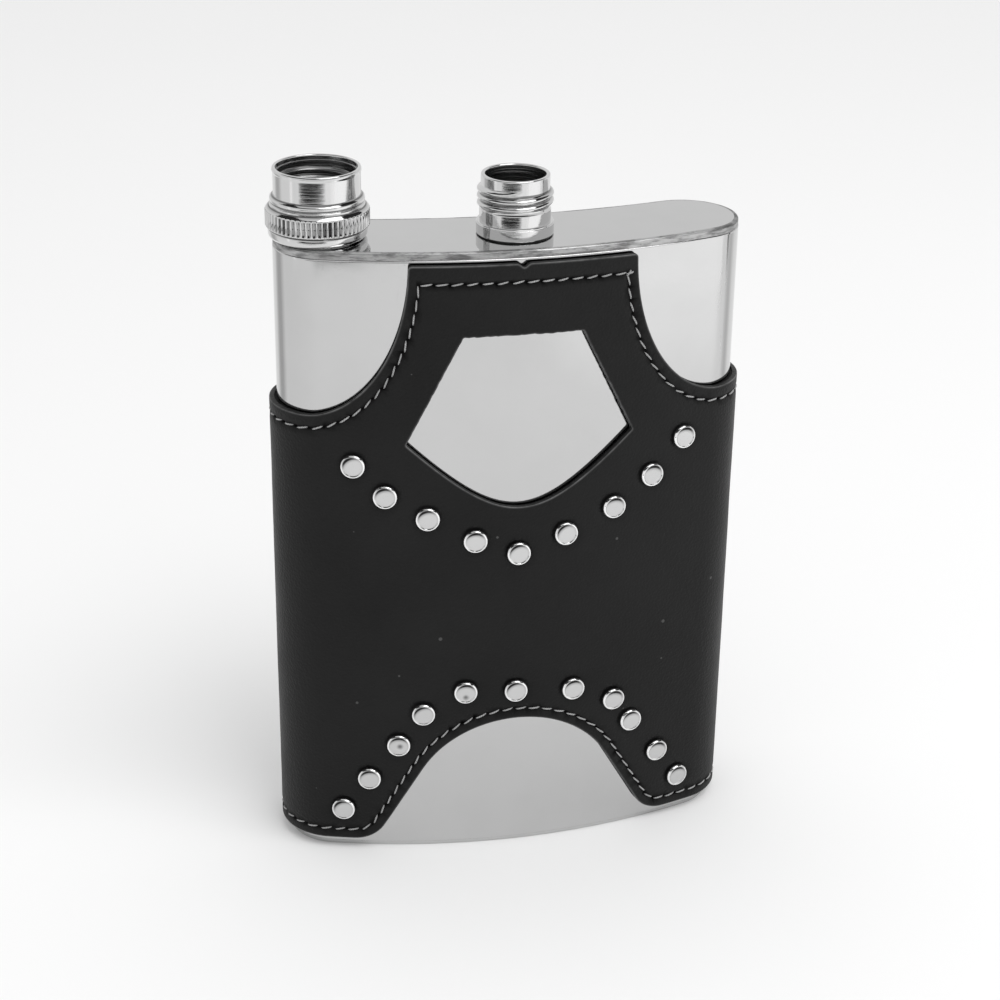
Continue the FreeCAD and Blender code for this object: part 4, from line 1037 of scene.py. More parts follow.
def build_cap_grip():
    """The grip ring: a lower bead, a fluted band and a stepped, beaded shoulder."""
    cap = bpy.context.scene.flask_cap
    x, y, foot = cap_place()
    low, high = (corner.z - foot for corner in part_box("cap_grip_ring"))
    tiny = 0.1 * MM
    band = [(cap.grip, BAND_LOW + 0.12 * MM, 0), (cap.grip, BAND_LOW + BAND_END, 0),
            (cap.grip, BAND_HIGH - BAND_END, 0), (cap.grip, BAND_HIGH - 0.12 * MM, 0)]
    profile = [
        (cap.skirt, low, 0), (cap.bead - 0.5 * MM, low, 2 * tiny), (cap.bead, low + 0.6 * MM, 3 * tiny),
        (cap.bead, BAND_LOW - 0.55 * MM, 2 * tiny), (cap.bead - 1.5 * tiny, BAND_LOW - 0.4 * MM, tiny),
        (cap.grip - 0.2 * MM, BAND_LOW - 0.12 * MM, tiny), *band,
        (cap.grip - 0.2 * MM, BAND_HIGH + 0.2 * MM, tiny),
        (cap.step + 0.3 * MM, BAND_HIGH + 0.68 * MM, tiny),
        (cap.step + 0.1 * MM, BAND_HIGH + 0.75 * MM, 0.5 * tiny),
        (cap.step + 0.12 * MM, BAND_HIGH + 1.2 * MM, 1.5 * tiny),
        (cap.step - 0.18 * MM, BAND_HIGH + 1.35 * MM, tiny),
        (cap.step - 0.18 * MM, BAND_HIGH + 1.6 * MM, tiny),
        (cap.step + 0.02 * MM, BAND_HIGH + 1.72 * MM, tiny),
        (cap.step, BAND_HIGH + 2.3 * MM, 2 * tiny), (cap.skirt + 0.25 * MM, BAND_HIGH + 2.7 * MM, tiny),
        (cap.skirt, high, 0),
    ]
    bm = bmesh.new()
    lathe(bm, profile, (x, y, foot), closed=True, sides=cap.flutes * 10, steps=3)
    pitch = 2 * math.pi / cap.flutes
    groove = bm.verts.layers.float.new("groove")
    hollows = (BAND_LOW - 0.42 * MM, BAND_HIGH + 0.72 * MM, BAND_HIGH + 1.48 * MM, BAND_HIGH + 2.7 * MM)
    for vert in bm.verts:
        nearest = min(abs(vert.co.z - foot - hollow) for hollow in hollows)
        # painted shade in the hollows between the beads
        vert[groove] = HOLLOW_SHADE * bell(nearest, HOLLOW_WIDTH)
    for vert in bm.verts:
        reach = Vector((vert.co.x - x, vert.co.y - y, 0))
        height = vert.co.z - foot
        if reach.length < cap.grip - tiny / 2 or not BAND_LOW < height < BAND_HIGH:
            continue
        angle = math.atan2(reach.y, reach.x) / pitch
        off = abs(angle - round(angle)) * pitch * cap.grip
        if off >= cap.flute_rad:
            continue
        cut = max(0.0, math.sqrt(cap.flute_rad ** 2 - off ** 2) - (cap.flute_rad - cap.flute_depth))
        ends = min(1.0, (height - BAND_LOW) / BAND_END, (BAND_HIGH - height) / BAND_END)
        vert.co -= reach.normalized() * cut * ends
        turn = math.degrees(math.atan2(reach.y, reach.x))
        # painted dark reflection: the flutes of two stretches, one facing the camera's side, come out
        # darker still
        grime_and_shade = max(bell(turn - middle, width) for middle, width in DARK_REFLECTION_TURNS)
        deep = min(1.0, cut / cap.flute_depth * ends * 1.3) ** 2
        vert[groove] = max(vert[groove], (FLUTE_SHADE + STRETCH_REFLECTION_SHADE * grime_and_shade) * deep)
    finish_piece(bm, "cap_grip", finish("turned_steel"), "cap", ("cap_grip_ring",),
                 sharp=GRIP_SHARP)


# ---------------------------------------------------------------- the leather's pattern

# The cut: the arch's slope, how far the arch and the window lie to the left, how a row inside a scallop
# falls, and how far the stitches stay from the seam.
ARCH_SLOPE = math.radians(60)
ARCH_LEFT = 0.4 * MM
WINDOW_LEFT = 0.2 * MM
SCALLOP_DOWN = 1.3
SEAM_CLEAR = 2.5 * MM

# The mesh: what still counts as straight, how near two points are before they count as one, how far
# the even cells stay from an edge, and how near a row or a stud the cells are split.
STRAIGHT_ON = -0.94
POINT_JOIN = 0.06 * MM
CELL_CLEAR = 1.25 * MM
SPLIT_REACH = (1.2 * MM, 3.9 * MM)


def arch_side(wrap, inset=0.0):
    """Right half of the bottom arch from its crown to the level edge, as (x, height)."""
    radius, flare = wrap.arch_rad + inset, wrap.arch_flare - inset
    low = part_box("leather_wrap")[0].z + inset
    lean = math.pi / 2 - ARCH_SLOPE
    touch_x = radius * math.cos(lean)
    touch_z = wrap.arch_z + radius * math.sin(lean)
    foot_x = touch_x + (touch_z - low) / math.tan(ARCH_SLOPE) + flare * math.tan(ARCH_SLOPE / 2)
    crown = [math.pi / 2 - (math.pi / 2 - lean) * step / 40 for step in range(41)]
    foot = [ARCH_SLOPE * (1 - step / 16) for step in range(17)]
    path = [(radius * math.cos(turn), wrap.arch_z + radius * math.sin(turn)) for turn in crown]
    path += [(foot_x - flare * math.sin(turn), low + flare - flare * math.cos(turn)) for turn in foot]
    return path


def scallop_side(wrap, side, on_skin, stop_z, inset=0.0):
    """Scallop edge from the top corner down to its level stretch, as (arc length, height)."""
    middle = side * wrap.scallop_x + wrap.shift
    half = wrap.scallop_half + inset
    drop = wrap.scallop_drop + SCALLOP_DOWN * inset
    start = math.asin(max(0.0, (wrap.scallop_z - stop_z) / drop))
    turns = [start + (math.pi / 2 - start) * step / 48 for step in range(49)]
    return [(on_skin(middle - side * half * math.cos(turn)), wrap.scallop_z - drop * math.sin(turn))
            for turn in turns]


def wrap_edges(wrap, outline):
    """The pattern's outer edge as smooth pieces of (arc length, height), round the leather's left hand."""
    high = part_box("leather_wrap")[1].z
    seam = outline.half_run - wrap.seam_gap / 2
    arch_x = wrap.shift - ARCH_LEFT
    arch = arch_side(wrap)
    back_right = [(outline.back(x + arch_x), z) for x, z in arch if x + arch_x > wrap.seam_gap]
    back_left = [(outline.back(arch_x - x), z) for x, z in arch]
    right, left = [], []
    for side, edge in ((1, right), (-1, left)):
        front = scallop_side(wrap, side, outline.front, wrap.scallop_z)
        back = scallop_side(wrap, side, outline.back, wrap.scallop_z)
        edge.extend(((front[0][0], high), *front, *reversed(back), (back[0][0], high)))
    nick = [(outline.front(arch_x + side * wrap.notch_half), high - down)
            for side, down in ((1, 0), (0, wrap.notch_deep), (-1, 0))]
    half_gap = wrap.seam_gap / 2
    foot_left, foot_right = (wrap.arch_z + math.sqrt(wrap.arch_rad ** 2 - (x - arch_x) ** 2)
                             for x in (-half_gap, half_gap))
    return [
        [(-seam, high), (-seam, foot_left)],
        [(-seam, foot_left), *back_left, *[(outline.front(arch_x - x), z) for x, z in reversed(arch)],
         *[(outline.front(arch_x + x), z) for x, z in arch[1:]], *reversed(back_right), (seam, foot_right)],
        [(seam, foot_right), (seam, high)],
        [(seam, high), right[-1]],
        list(reversed(right)),
        [right[0], nick[0]],
        [nick[0], nick[1]],
        [nick[1], nick[2]],
        [nick[2], left[0]],
        left,
        [left[-1], (-seam, high)],
    ]


def window_edges(wrap, outline):
    """The window's edge as smooth pieces, the other way round."""
    middle = wrap.shift - WINDOW_LEFT
    half, low, side, soft = wrap.window_half, wrap.window_low, wrap.window_side, wrap.window_round
    span = math.hypot(half, soft) - soft
    lower = []
    for step in range(-40, 41):
        x = half * step / 40
        lower.append((outline.front(middle + x), low + (side - low) * (math.hypot(x, soft) - soft) / span))
    top_left = (outline.front(middle - wrap.window_half_top), wrap.window_top)
    top_right = (outline.front(middle + wrap.window_half_top), wrap.window_top)
    return [list(reversed(lower)), [lower[0], top_left], [top_left, top_right], [top_right, lower[-1]]]


def measured(path):
    """A path's points, the length of each leg, and how far along it each point lies."""
    points = np.array(path)
    runs = np.hypot(*np.diff(points, axis=0).T)
    return points, runs, np.concatenate(([0.0], np.cumsum(runs)))


def even_steps(piece, gap):
    """Points at even steps along one smooth piece, its last point left out."""
    legs, _, marks = measured(piece)
    count = max(1, round(marks[-1] / gap))
    at = np.linspace(0, marks[-1], count + 1)[:-1]
    return list(zip(np.interp(at, marks, legs[:, 0]), np.interp(at, marks, legs[:, 1])))


def closed_edge(pieces, gap, corner):
    """One closed edge of even steps whose corners are cut round."""
    runs = [sum(math.dist(a, b) for a, b in zip(piece, piece[1:])) for piece in pieces]
    corners = []
    for number, piece in enumerate(pieces):
        here = np.array(piece[0])
        before, after = np.array(pieces[number - 1][-2]) - here, np.array(piece[1]) - here
        before, after = before / np.hypot(*before), after / np.hypot(*after)
        turns = before @ after > STRAIGHT_ON
        soft = min(corner, 0.3 * runs[number], 0.3 * runs[number - 1]) if turns else 0.0
        corners.append((here, before, after, soft))
    points = []
    for number, piece in enumerate(pieces):
        here, before, after, soft = corners[number]
        ahead, _, _, next_soft = corners[(number + 1) % len(pieces)]
        for share in (0.0, 0.25, 0.5, 0.75, 1.0) if soft else ():
            points.append(bend(here + before * soft, here, here + after * soft, share))
        points.extend(p for p in even_steps(piece, gap)
                      if math.dist(p, here) >= 1.1 * soft and math.dist(p, ahead) >= 1.1 * next_soft)
    kept = [points[0]]
    for point in points[1:]:
        if min(math.dist(point, kept[-1]), math.dist(point, kept[0])) > POINT_JOIN:
            kept.append(point)
    return np.array(kept)


def inward(points, distance):
    """The same closed edge, moved to its left by a distance."""
    ahead = np.roll(points, -1, axis=0) - points
    ahead /= np.hypot(*ahead.T)[:, None]
    left = np.stack((-ahead[:, 1], ahead[:, 0]), axis=1)
    before = np.roll(left, 1, axis=0)
    share = 1 + np.sum(left * before, axis=1, keepdims=True)
    return points + distance * (left + before) / np.maximum(share, 0.5)


def inside(points, edge):
    """Which points lie inside a closed edge."""
    ahead = np.roll(edge, -1, axis=0)
    hit = np.zeros(len(points), bool)
    for (x0, y0), (x1, y1) in zip(edge, ahead):
        if y0 == y1:
            continue
        crosses = (y0 > points[:, 1]) != (y1 > points[:, 1])
        hit ^= crosses & (points[:, 0] < x0 + (points[:, 1] - y0) * (x1 - x0) / (y1 - y0))
    return hit


def tree_of(points):
    """A search tree of flat points."""
    tree = KDTree(len(points))
    for number, point in enumerate(points):
        tree.insert((point[0], point[1], 0), number)
    tree.balance()
    return tree


def off(tree, point):
    """Distance on the flat pattern to the nearest point of a tree."""
    return tree.find((point.x, point.y, 0))[2]


# Rings along a cut edge: their distance from it, how far they drop, and their share of the lighter edge
# colour, which is burnish and painted highlight.
RINGS = (0.0, 0.07 * MM, 0.17 * MM, 0.4 * MM)
RING_DROP = (0.22 * MM, 0.07 * MM, 0.015 * MM, 0.0)
RING_RUB_AND_HIGHLIGHT = (0.15, 1.0, 0.4, 0.0)


def fill_between(bm, edges, outer, window, kept, step, inset):
    """Triangles between the edge rings and the kept cells."""
    verts = list({vert for edge in edges for vert in edge.verts})
    number = {vert: place for place, vert in enumerate(verts)}
    flat = [vert.co.xy / MM for vert in verts]
    links = [(number[edge.verts[0]], number[edge.verts[1]]) for edge in edges]
    _, _, faces, origin, _, _ = delaunay_2d_cdt(flat, links, [], 0, 0.0001, True)
    corners = [[verts[origin[place][0]] for place in face] for face in faces]
    middles = np.array([np.mean([vert.co[:2] for vert in face], axis=0) for face in corners])
    good = inside(middles, inward(outer, inset)) & ~inside(middles, inward(window, inset))
    for face, middle, free in zip(corners, middles, good):
        near = kept.find((*middle, 0))[0]
        covered = max(abs(near.x - middle[0]), abs(near.y - middle[1])) < 0.501 * step
        if free and not covered:
            bm.faces.new(face)


def flat_pattern(bm, outer, window, cell, spread=1.0):
    """The flat leather: narrow rings along its edges, even cells inside, and a filled strip between."""
    rub_and_highlight_layer = bm.verts.layers.float.new("edge")
    drop_layer = bm.verts.layers.float.new("drop")
    inner_edges = []
    for edge in (outer, window):
        rings = []
        # each ring's share of the lighter edge colour: burnish plus painted highlight, strongest at the
        # rounded corner
        for distance, drop, rub_and_highlight in zip(RINGS, RING_DROP, RING_RUB_AND_HIGHLIGHT):
            ring = [bm.verts.new((x, y, 0)) for x, y in inward(edge, spread * distance)]
            for vert in ring:
                vert[rub_and_highlight_layer], vert[drop_layer] = rub_and_highlight, drop
            rings.append(ring)
        for low, high in zip(rings, rings[1:]):
            for number in range(len(low)):
                bm.faces.new((low[number - 1], low[number], high[number], high[number - 1]))
        inner_edges.extend(edges_among(rings[-1]))
    reach, lowest = outer[:, 0].max() - 1 * MM, outer[:, 1].min()
    tall = outer[:, 1].max() - lowest
    matrix = Matrix.Translation((0, lowest + tall / 2, 0)) @ Matrix.Diagonal((reach, tall / 2, 1, 1))
    grid = bmesh.ops.create_grid(bm, x_segments=round(2 * reach / cell), y_segments=round(tall / cell),
                                 size=1.0, matrix=matrix)["verts"]
    places = np.array([(v.co.x, v.co.y) for v in grid])
    keep = inside(places, outer) & ~inside(places, window)
    tree = tree_of(np.concatenate((outer, window)))
    far = np.array([off(tree, v.co) for v in grid]) > CELL_CLEAR
    bad = {v for v, good in zip(grid, keep & far) if not good}
    bmesh.ops.delete(bm, geom=list(bad), context="VERTS")
    cells = [v for v in grid if v.is_valid]
    bmesh.ops.delete(bm, geom=[v for v in cells if not v.link_faces], context="VERTS")
    bmesh.ops.delete(bm, geom=[e for e in bm.edges if e.is_wire], context="EDGES")
    cells = [v for v in cells if v.is_valid and v.link_faces]
    rim = {e for v in cells for e in v.link_edges if e.is_boundary}
    kept = tree_of([f.calc_center_median() for f in {f for v in cells for f in v.link_faces}])
    step = max(2 * reach / round(2 * reach / cell), tall / round(tall / cell))
    fill_between(bm, inner_edges + list(rim), outer, window, kept, step, spread * RINGS[-1])


def stitch_rows(wrap, stitching, outline):
    """Every row of stitches as a name and a path of (arc length, height)."""
    inset = stitching.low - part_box("leather_wrap")[0].z
    level = wrap.scallop_z - wrap.scallop_drop - SCALLOP_DOWN * stitching.inset
    side, seam = outline.side(), outline.half_run
    near_seam = seam - SEAM_CLEAR
    arch_x = wrap.shift - ARCH_LEFT
    arch = arch_side(wrap, inset)
    crown = [(outline.front(arch_x - x), z) for x, z in reversed(arch[1:])]
    crown += [(outline.front(arch_x + x), z) for x, z in arch]
    half_rows = {}
    for hand, word in ((-1, "left"), (1, "right")):
        for on_skin, face in ((outline.front, "front"), (outline.back, "back")):
            half_rows[face, word] = scallop_side(wrap, hand, on_skin, stitching.top, stitching.inset)
    rows = {
        "top_stitching_front": [[(-side, level), *reversed(half_rows["front", "left"])],
                                [half_rows["front", "left"][0], half_rows["front", "right"][0]],
                                [*half_rows["front", "right"], (side, level)]],
        "top_stitching_back": [[(side, level), *reversed(half_rows["back", "right"])],
                               [half_rows["back", "right"][0], (near_seam, stitching.top)],
                               [(-side, level), *reversed(half_rows["back", "left"])],
                               [half_rows["back", "left"][0], (-near_seam, stitching.top)]],
        "bottom_stitching_front": [[(-side, stitching.low), *crown, (side, stitching.low)]],
        "bottom_stitching_back": [],
    }
    for hand in (1, -1):
        arch_back = [(outline.back(arch_x + hand * x), z) for x, z in reversed(arch)]
        arch_back = [p for p in arch_back if hand * p[0] > 0 and abs(p[0]) < near_seam]
        rows["bottom_stitching_back"].append([(hand * side, stitching.low), *arch_back])
    return rows


def marks_on(path, pitch):
    """Middles of the stitches along a path: arc length, height and heading."""
    legs, runs, marks = measured(path)
    count = max(1, round(marks[-1] / pitch))
    at = (np.arange(count) + 0.5) * marks[-1] / count
    spots = []
    for run in at:
        leg = min(np.searchsorted(marks, run, side="right") - 1, len(runs) - 1)
        share = (run - marks[leg]) / runs[leg]
        here = legs[leg] + (legs[leg + 1] - legs[leg]) * share
        step = legs[leg + 1] - legs[leg]
        spots.append((here[0], here[1], math.atan2(step[1], step[0])))
    return spots


def stitch_marks(wrap, stitching, outline):
    """Every stitch of every named row."""
    return {name: [mark for path in paths for mark in marks_on(path, stitching.pitch)]
            for name, paths in stitch_rows(wrap, stitching, outline).items()}


# Every stud as its distance along the skin from the middle and its height, both in millimetres.
UPPER_STUDS = (
    (-33.3, 87.7), (-27.2, 81.3), (-19.0, 76.5), (-9.7, 71.4), (-1.1, 68.1),
    (8.4, 71.5), (18.3, 76.0), (26.3, 81.7), (33.2, 88.7),
)
LOWER_STUDS = (
    (-36.3, 9.9), (-30.9, 17.4), (-24.9, 25.4), (-19.9, 32.6), (-11.4, 37.4), (-1.2, 37.0),
    (10.8, 35.9), (19.7, 31.9), (23.8, 26.0), (30.3, 17.1), (35.6, 9.5),
)
# The dented studs, and where on the head each dent lies.
DENTED = {(-24.9, 25.4): (0.3, -0.1), (-11.4, 37.4): (0.2, -1.0)}


def refine(bm, trees, reach, cuts):
    """Split the cells that lie near a tree's points."""
    near = {v for v in bm.verts if any(off(tree, v.co) < limit for tree, limit in zip(trees, reach))}
    edges = [e for e in bm.edges if e.verts[0] in near and e.verts[1] in near and not e.is_boundary]
    bmesh.ops.subdivide_edges(bm, edges=edges, cuts=cuts, use_grid_fill=True)


def wrap_onto(bm, outline, base):
    """Bend the flat sheet, its face up +Z, round the flask."""
    for vert in bm.verts:
        along, height, out = vert.co
        point, _ = outline.place(along, height, base + out)
        vert.co = point


def frayed(edge, wrap):
    """The window's top and sides a little ragged, as a knife leaves them."""
    ragged = []
    for along, height in edge:
        free = max(0.0, min(1.0, (height - wrap.window_side - 1 * MM) / (2 * MM)))
        top = max(0.0, min(1.0, (height - wrap.window_top + 0.5 * MM) / (0.4 * MM)))
        spot = Vector((along, height, 0)) / (0.9 * MM)
        along += noise.noise(spot) * 0.10 * MM * free
        height += noise.noise(spot + Vector((7, 3, 1))) * (0.05 + 0.12 * top) * MM * free
        ragged.append((along, height))
    return np.array(ragged)


def face_up(bm):
    """Turn every face of a flat sheet to +Z."""
    bmesh.ops.recalc_face_normals(bm, faces=bm.faces)
    if sum(face.normal.z for face in bm.faces) < 0:
        bmesh.ops.reverse_faces(bm, faces=bm.faces)


WINDOW_CORNER = 0.3 * MM
LINING_GAP = 0.03 * MM

# How wide the leather is drawn in by a row, a needle hole and a stud, the shade of a row, and the swells of
# the leather as height and width.
CHANNEL_WIDTH = 0.5 * MM
PRICK_WIDTH = 0.36 * MM
PRESS_WIDTH = 0.55 * MM
ROW_SHADE, ROW_SHADE_WIDTH = 0.6, 0.42 * MM
SWELLS = ((0.05 * MM, 16 * MM), (0.018 * MM, 4.5 * MM))


def build_leather():
    """The outer leather: cut edges, rows drawn in by the stitches, needle holes, and studs pressed in."""
    scene = bpy.context.scene
    wrap, stitching, studs = scene.flask_wrap, scene.flask_stitching, scene.flask_studs
    outline = kidney()
    outer = closed_edge(wrap_edges(wrap, outline), 0.8 * MM, wrap.corner)
    window = frayed(closed_edge(window_edges(wrap, outline), 0.5 * MM, WINDOW_CORNER), wrap)
    bm = bmesh.new()
    flat_pattern(bm, outer, window, wrap.cell)
    area = sum(face.calc_area() for face in bm.faces)
    marks = [mark for row in stitch_marks(wrap, stitching, outline).values() for mark in row]
    rows = [point for paths in stitch_rows(wrap, stitching, outline).values()
            for path in paths for point in even_steps(path, 0.3 * MM)]
    holes = []
    for along, height, turn in marks:
        for way in (-0.5, 0.5):
            holes.append((along + way * stitching.pitch * math.cos(turn),
                          height + way * stitching.pitch * math.sin(turn)))
    row_tree, hole_tree = tree_of(rows), tree_of(holes)
    stud_tree = tree_of([(a * MM, h * MM) for a, h in UPPER_STUDS + LOWER_STUDS])
    refine(bm, (row_tree, stud_tree), SPLIT_REACH, 2)
    face_up(bm)
    bmesh.ops.solidify(bm, geom=bm.faces[:], thickness=wrap.leather)
    rub_and_highlight_layer, drop_layer = bm.verts.layers.float["edge"], bm.verts.layers.float["drop"]
    hole_and_row_shade_layer = bm.verts.layers.float.new("hole")
    faces_up = max(v.co.z for v in bm.verts)
    for vert in bm.verts:
        if vert.co.z < faces_up - wrap.leather / 2:
            vert.co.z = 0.0
            vert[rub_and_highlight_layer] = 0.0
            continue
        flat = Vector((vert.co.x, vert.co.y, 0))
        to_row, to_hole, to_stud = off(row_tree, flat), off(hole_tree, flat), off(stud_tree, flat)
        channel = stitching.channel * bell(to_row, CHANNEL_WIDTH)
        prick = bell(to_hole, PRICK_WIDTH)
        press = studs.press * bell(max(0.0, to_stud - studs.radius), PRESS_WIDTH)
        swell = sum(high * noise.noise(flat / wide) for high, wide in SWELLS)
        vert.co.z = wrap.leather - vert[drop_layer] - channel - stitching.hole * prick - press + swell
        # painted shade in the needle holes and along each row
        vert[hole_and_row_shade_layer] = max(prick, ROW_SHADE * bell(to_row, ROW_SHADE_WIDTH))
    wrap_onto(bm, outline, wrap.lining)
    bmesh.ops.recalc_face_normals(bm, faces=bm.faces)
    piece = finish_piece(bm, "leather_cover", finish("black_leather"), "flask",
                         ("leather_wrap",), sharp=LEATHER_SHARP)


def build_lining():
    """The lining: the same cut, thinner, with its nap against the steel."""
    wrap = bpy.context.scene.flask_wrap
    outline = kidney()
    outer = closed_edge(wrap_edges(wrap, outline), 1.0 * MM, wrap.corner)
    window = closed_edge(window_edges(wrap, outline), 0.8 * MM, WINDOW_CORNER)
    outer, window = inward(outer, wrap.lining_in), inward(window, wrap.lining_in)
    bm = bmesh.new()
    flat_pattern(bm, outer, window, 2 * wrap.cell, spread=0.3)
    area = sum(face.calc_area() for face in bm.faces)
    face_up(bm)
    gap = LINING_GAP
    thick = wrap.lining - 2 * gap
    bmesh.ops.solidify(bm, geom=bm.faces[:], thickness=thick)
    lowest = min(v.co.z for v in bm.verts)
    for vert in bm.verts:
        vert.co.z -= lowest
    wrap_onto(bm, outline, gap)
    bmesh.ops.recalc_face_normals(bm, faces=bm.faces)
    piece = finish_piece(bm, "cover_lining", finish("lining_leather"), "flask",
                         ("wrap_lining",), sharp=LEATHER_SHARP)


# ---------------------------------------------------------------- stitches and studs

def thread_template(long, radius, sides=6, spans=7):
    """One stitch along +X: three plies that wind, high in the middle, its ends in the leather."""
    bm = bmesh.new()
    uv = bm.loops.layers.uv.new("Stitch")
    upright = Matrix.Rotation(math.pi / 2, 4, "Y")
    loops = [bmesh.ops.create_circle(bm, segments=sides, radius=radius, matrix=upright)["verts"]]
    for _ in range(spans):
        loops.append(new_verts(bmesh.ops.extrude_edge_only(bm, edges=edges_among(loops[-1]))))
    for number, loop in enumerate(loops):
        share = 2 * number / spans - 1
        thin = max(0.35, (1 - abs(share) ** 5) ** 0.5)
        rise = radius * 0.75 - 1.5 * radius * abs(share) ** 3
        bmesh.ops.scale(bm, verts=loop, vec=(1, thin, thin))
        bmesh.ops.rotate(bm, verts=loop, cent=(0, 0, 0), matrix=Matrix.Rotation(0.5 * number, 3, "X"))
        bmesh.ops.translate(bm, verts=loop, vec=(share * long / 2, 0, rise))
    for loop in (loops[0], loops[-1]):
        bmesh.ops.contextual_create(bm, geom=edges_among(loop))
    bmesh.ops.recalc_face_normals(bm, faces=bm.faces)
    for face in bm.faces:
        for corner in face.loops:
            place = corner.vert.co
            corner[uv].uv = (place.x / long + 0.5, math.atan2(place.z, place.y) / (2 * math.pi))
    return to_mesh("stitch_template", bm)


def laid(outline, along, height, turn, out):
    """A frame on the wall: +Z outward, +X along a heading."""
    point, normal = outline.place(along, height, out)
    level = UP.cross(normal)
    ahead = level * math.cos(turn) + UP * math.sin(turn)
    matrix = Matrix.Identity(4)
    for column, axis in enumerate((ahead, normal.cross(ahead), normal, point)):
        for row in range(3):
            matrix[row][column] = axis[row]
    return matrix


def join_copies(template, matrices):
    """A bmesh with one copy of a template at each frame."""
    bm = bmesh.new()
    for matrix in matrices:
        copy = template.copy()
        copy.transform(matrix)
        bm.from_mesh(copy)
        bpy.data.meshes.remove(copy)
    return bm


# The two loose ends of the thread at the right-hand corner: their heading and place, rise and shape.
THREAD_TAILS = ((-2.2, 0.1 * MM), (0.25, 0.35 * MM))
TAIL_RISE = 0.08 * MM
TAIL_SHAPE = Matrix.Diagonal((0.72, 0.95, 1.25, 1))
SEAM_FOOT = 5 * MM
STITCH_SWAY, SEAM_SWAY = 0.07, 0.06


def build_stitching():
    """Rows of slanted stitches, each in its own dent, and the cross stitches of the back seam."""
    scene = bpy.context.scene
    wrap, stitching = scene.flask_wrap, scene.flask_stitching
    outline = kidney()
    dice = random.Random(5)
    template = thread_template(stitching.long, stitching.thread)
    face = wrap.lining + wrap.leather - stitching.channel
    for name, marks in stitch_marks(wrap, stitching, outline).items():
        matrices = []
        for along, height, turn in marks:
            heading = turn + stitching.slant + dice.uniform(-STITCH_SWAY, STITCH_SWAY)
            stretch = Matrix.Diagonal((dice.uniform(0.94, 1.04), 1, dice.uniform(0.9, 1.1), 1))
            matrices.append(laid(outline, along, height, heading, face) @ stretch)
        if name == "top_stitching_front":
            along, height = scallop_side(wrap, 1, outline.front, stitching.top, stitching.inset)[0]
            for turn, shift in THREAD_TAILS:
                matrices.append(laid(outline, along + shift, height, turn, face + TAIL_RISE) @ TAIL_SHAPE)
        finish_piece(join_copies(template, matrices), name.replace("stitching", "stitches"),
                     finish("thread"), "flask", (name,))
    low = wrap.arch_z + wrap.arch_rad + SEAM_FOOT
    reach = 2 * stitching.seam_reach / stitching.long
    matrices = []
    for number in range(int((stitching.top - low) / stitching.seam_pitch)):
        height = low + number * stitching.seam_pitch
        heading = dice.uniform(-SEAM_SWAY, SEAM_SWAY)
        matrix = laid(outline, outline.half_run, height, heading, wrap.lining + wrap.leather)
        matrices.append(matrix @ Matrix.Diagonal((reach, 1, 1, 1)))
    finish_piece(join_copies(template, matrices), "seam_stitches", finish("thread"), "flask",
                 ("seam_stitching",))
    bpy.data.meshes.remove(template)


# A stud's head: its rim, the rows of its flat, the side where its painted dark reflection lies, its dents
# and how it is seated.
STUD_RIM = 0.62 * MM
FLAT_SHARES = (0, 0.14, 0.28, 0.42, 0.56)
FLAT_EDGES = (0.4 * MM, 0.25 * MM, 0.1 * MM)
DARK_ARC_SIDE = math.radians(104)
DENT_WIDTH, DENT_DEPTH, DENT_DARKENING = 0.85 * MM, 0.16 * MM, 0.75
STUD_TILT, STUD_TURN = 0.035, 0.4


def stud_template(studs):
    """One head: a flat face a little under a rounded rim, with a painted dark reflection in the corner on
    its upper side and a painted highlight on the rim.
    """
    radius, high, dish = studs.radius, studs.high, studs.dish
    flat = radius - STUD_RIM
    bm = bmesh.new()
    lathe(bm, [
        *[(flat * share, high - dish, 0) for share in FLAT_SHARES],
        *[(flat - set_in, high - dish, 0) for set_in in FLAT_EDGES],
        (flat, high - dish, 0.06 * MM), (flat + 0.08 * MM, high - dish + 0.06 * MM, 0.02 * MM),
        (radius - 0.42 * MM, high, 0.13 * MM), (radius - 0.25 * MM, high, 0.15 * MM),
        (radius, high - 0.34 * MM, 0.2 * MM), (radius, 0.12 * MM, 0.1 * MM),
        (radius - 0.15 * MM, 0, 0), (0, 0, 0),
    ], sides=40, steps=3)
    groove, edge = bm.verts.layers.float.new("groove"), bm.verts.layers.float.new("edge")
    corner = flat + 0.1 * MM
    for vert in bm.verts:
        reach = math.hypot(vert.co.x, vert.co.y)
        # painted dark reflection: darker in the flat's corner, strongest on the upper side
        toward = max(0.0, math.cos(math.atan2(vert.co.y, vert.co.x) - DARK_ARC_SIDE))
        near = bell(reach - corner + 0.12 * MM, (0.14 + 0.2 * toward) * MM)
        vert[groove] = min(1.0, 1.6 * near * (0.05 + 0.95 * toward ** 2)) if vert.co.z > high / 2 else 0.0
        # painted highlight: the rim is marked to come out lighter
        vert[edge] = 1.0 if reach > corner + 0.1 * MM else 0.0
    return to_mesh("stud_template", bm)


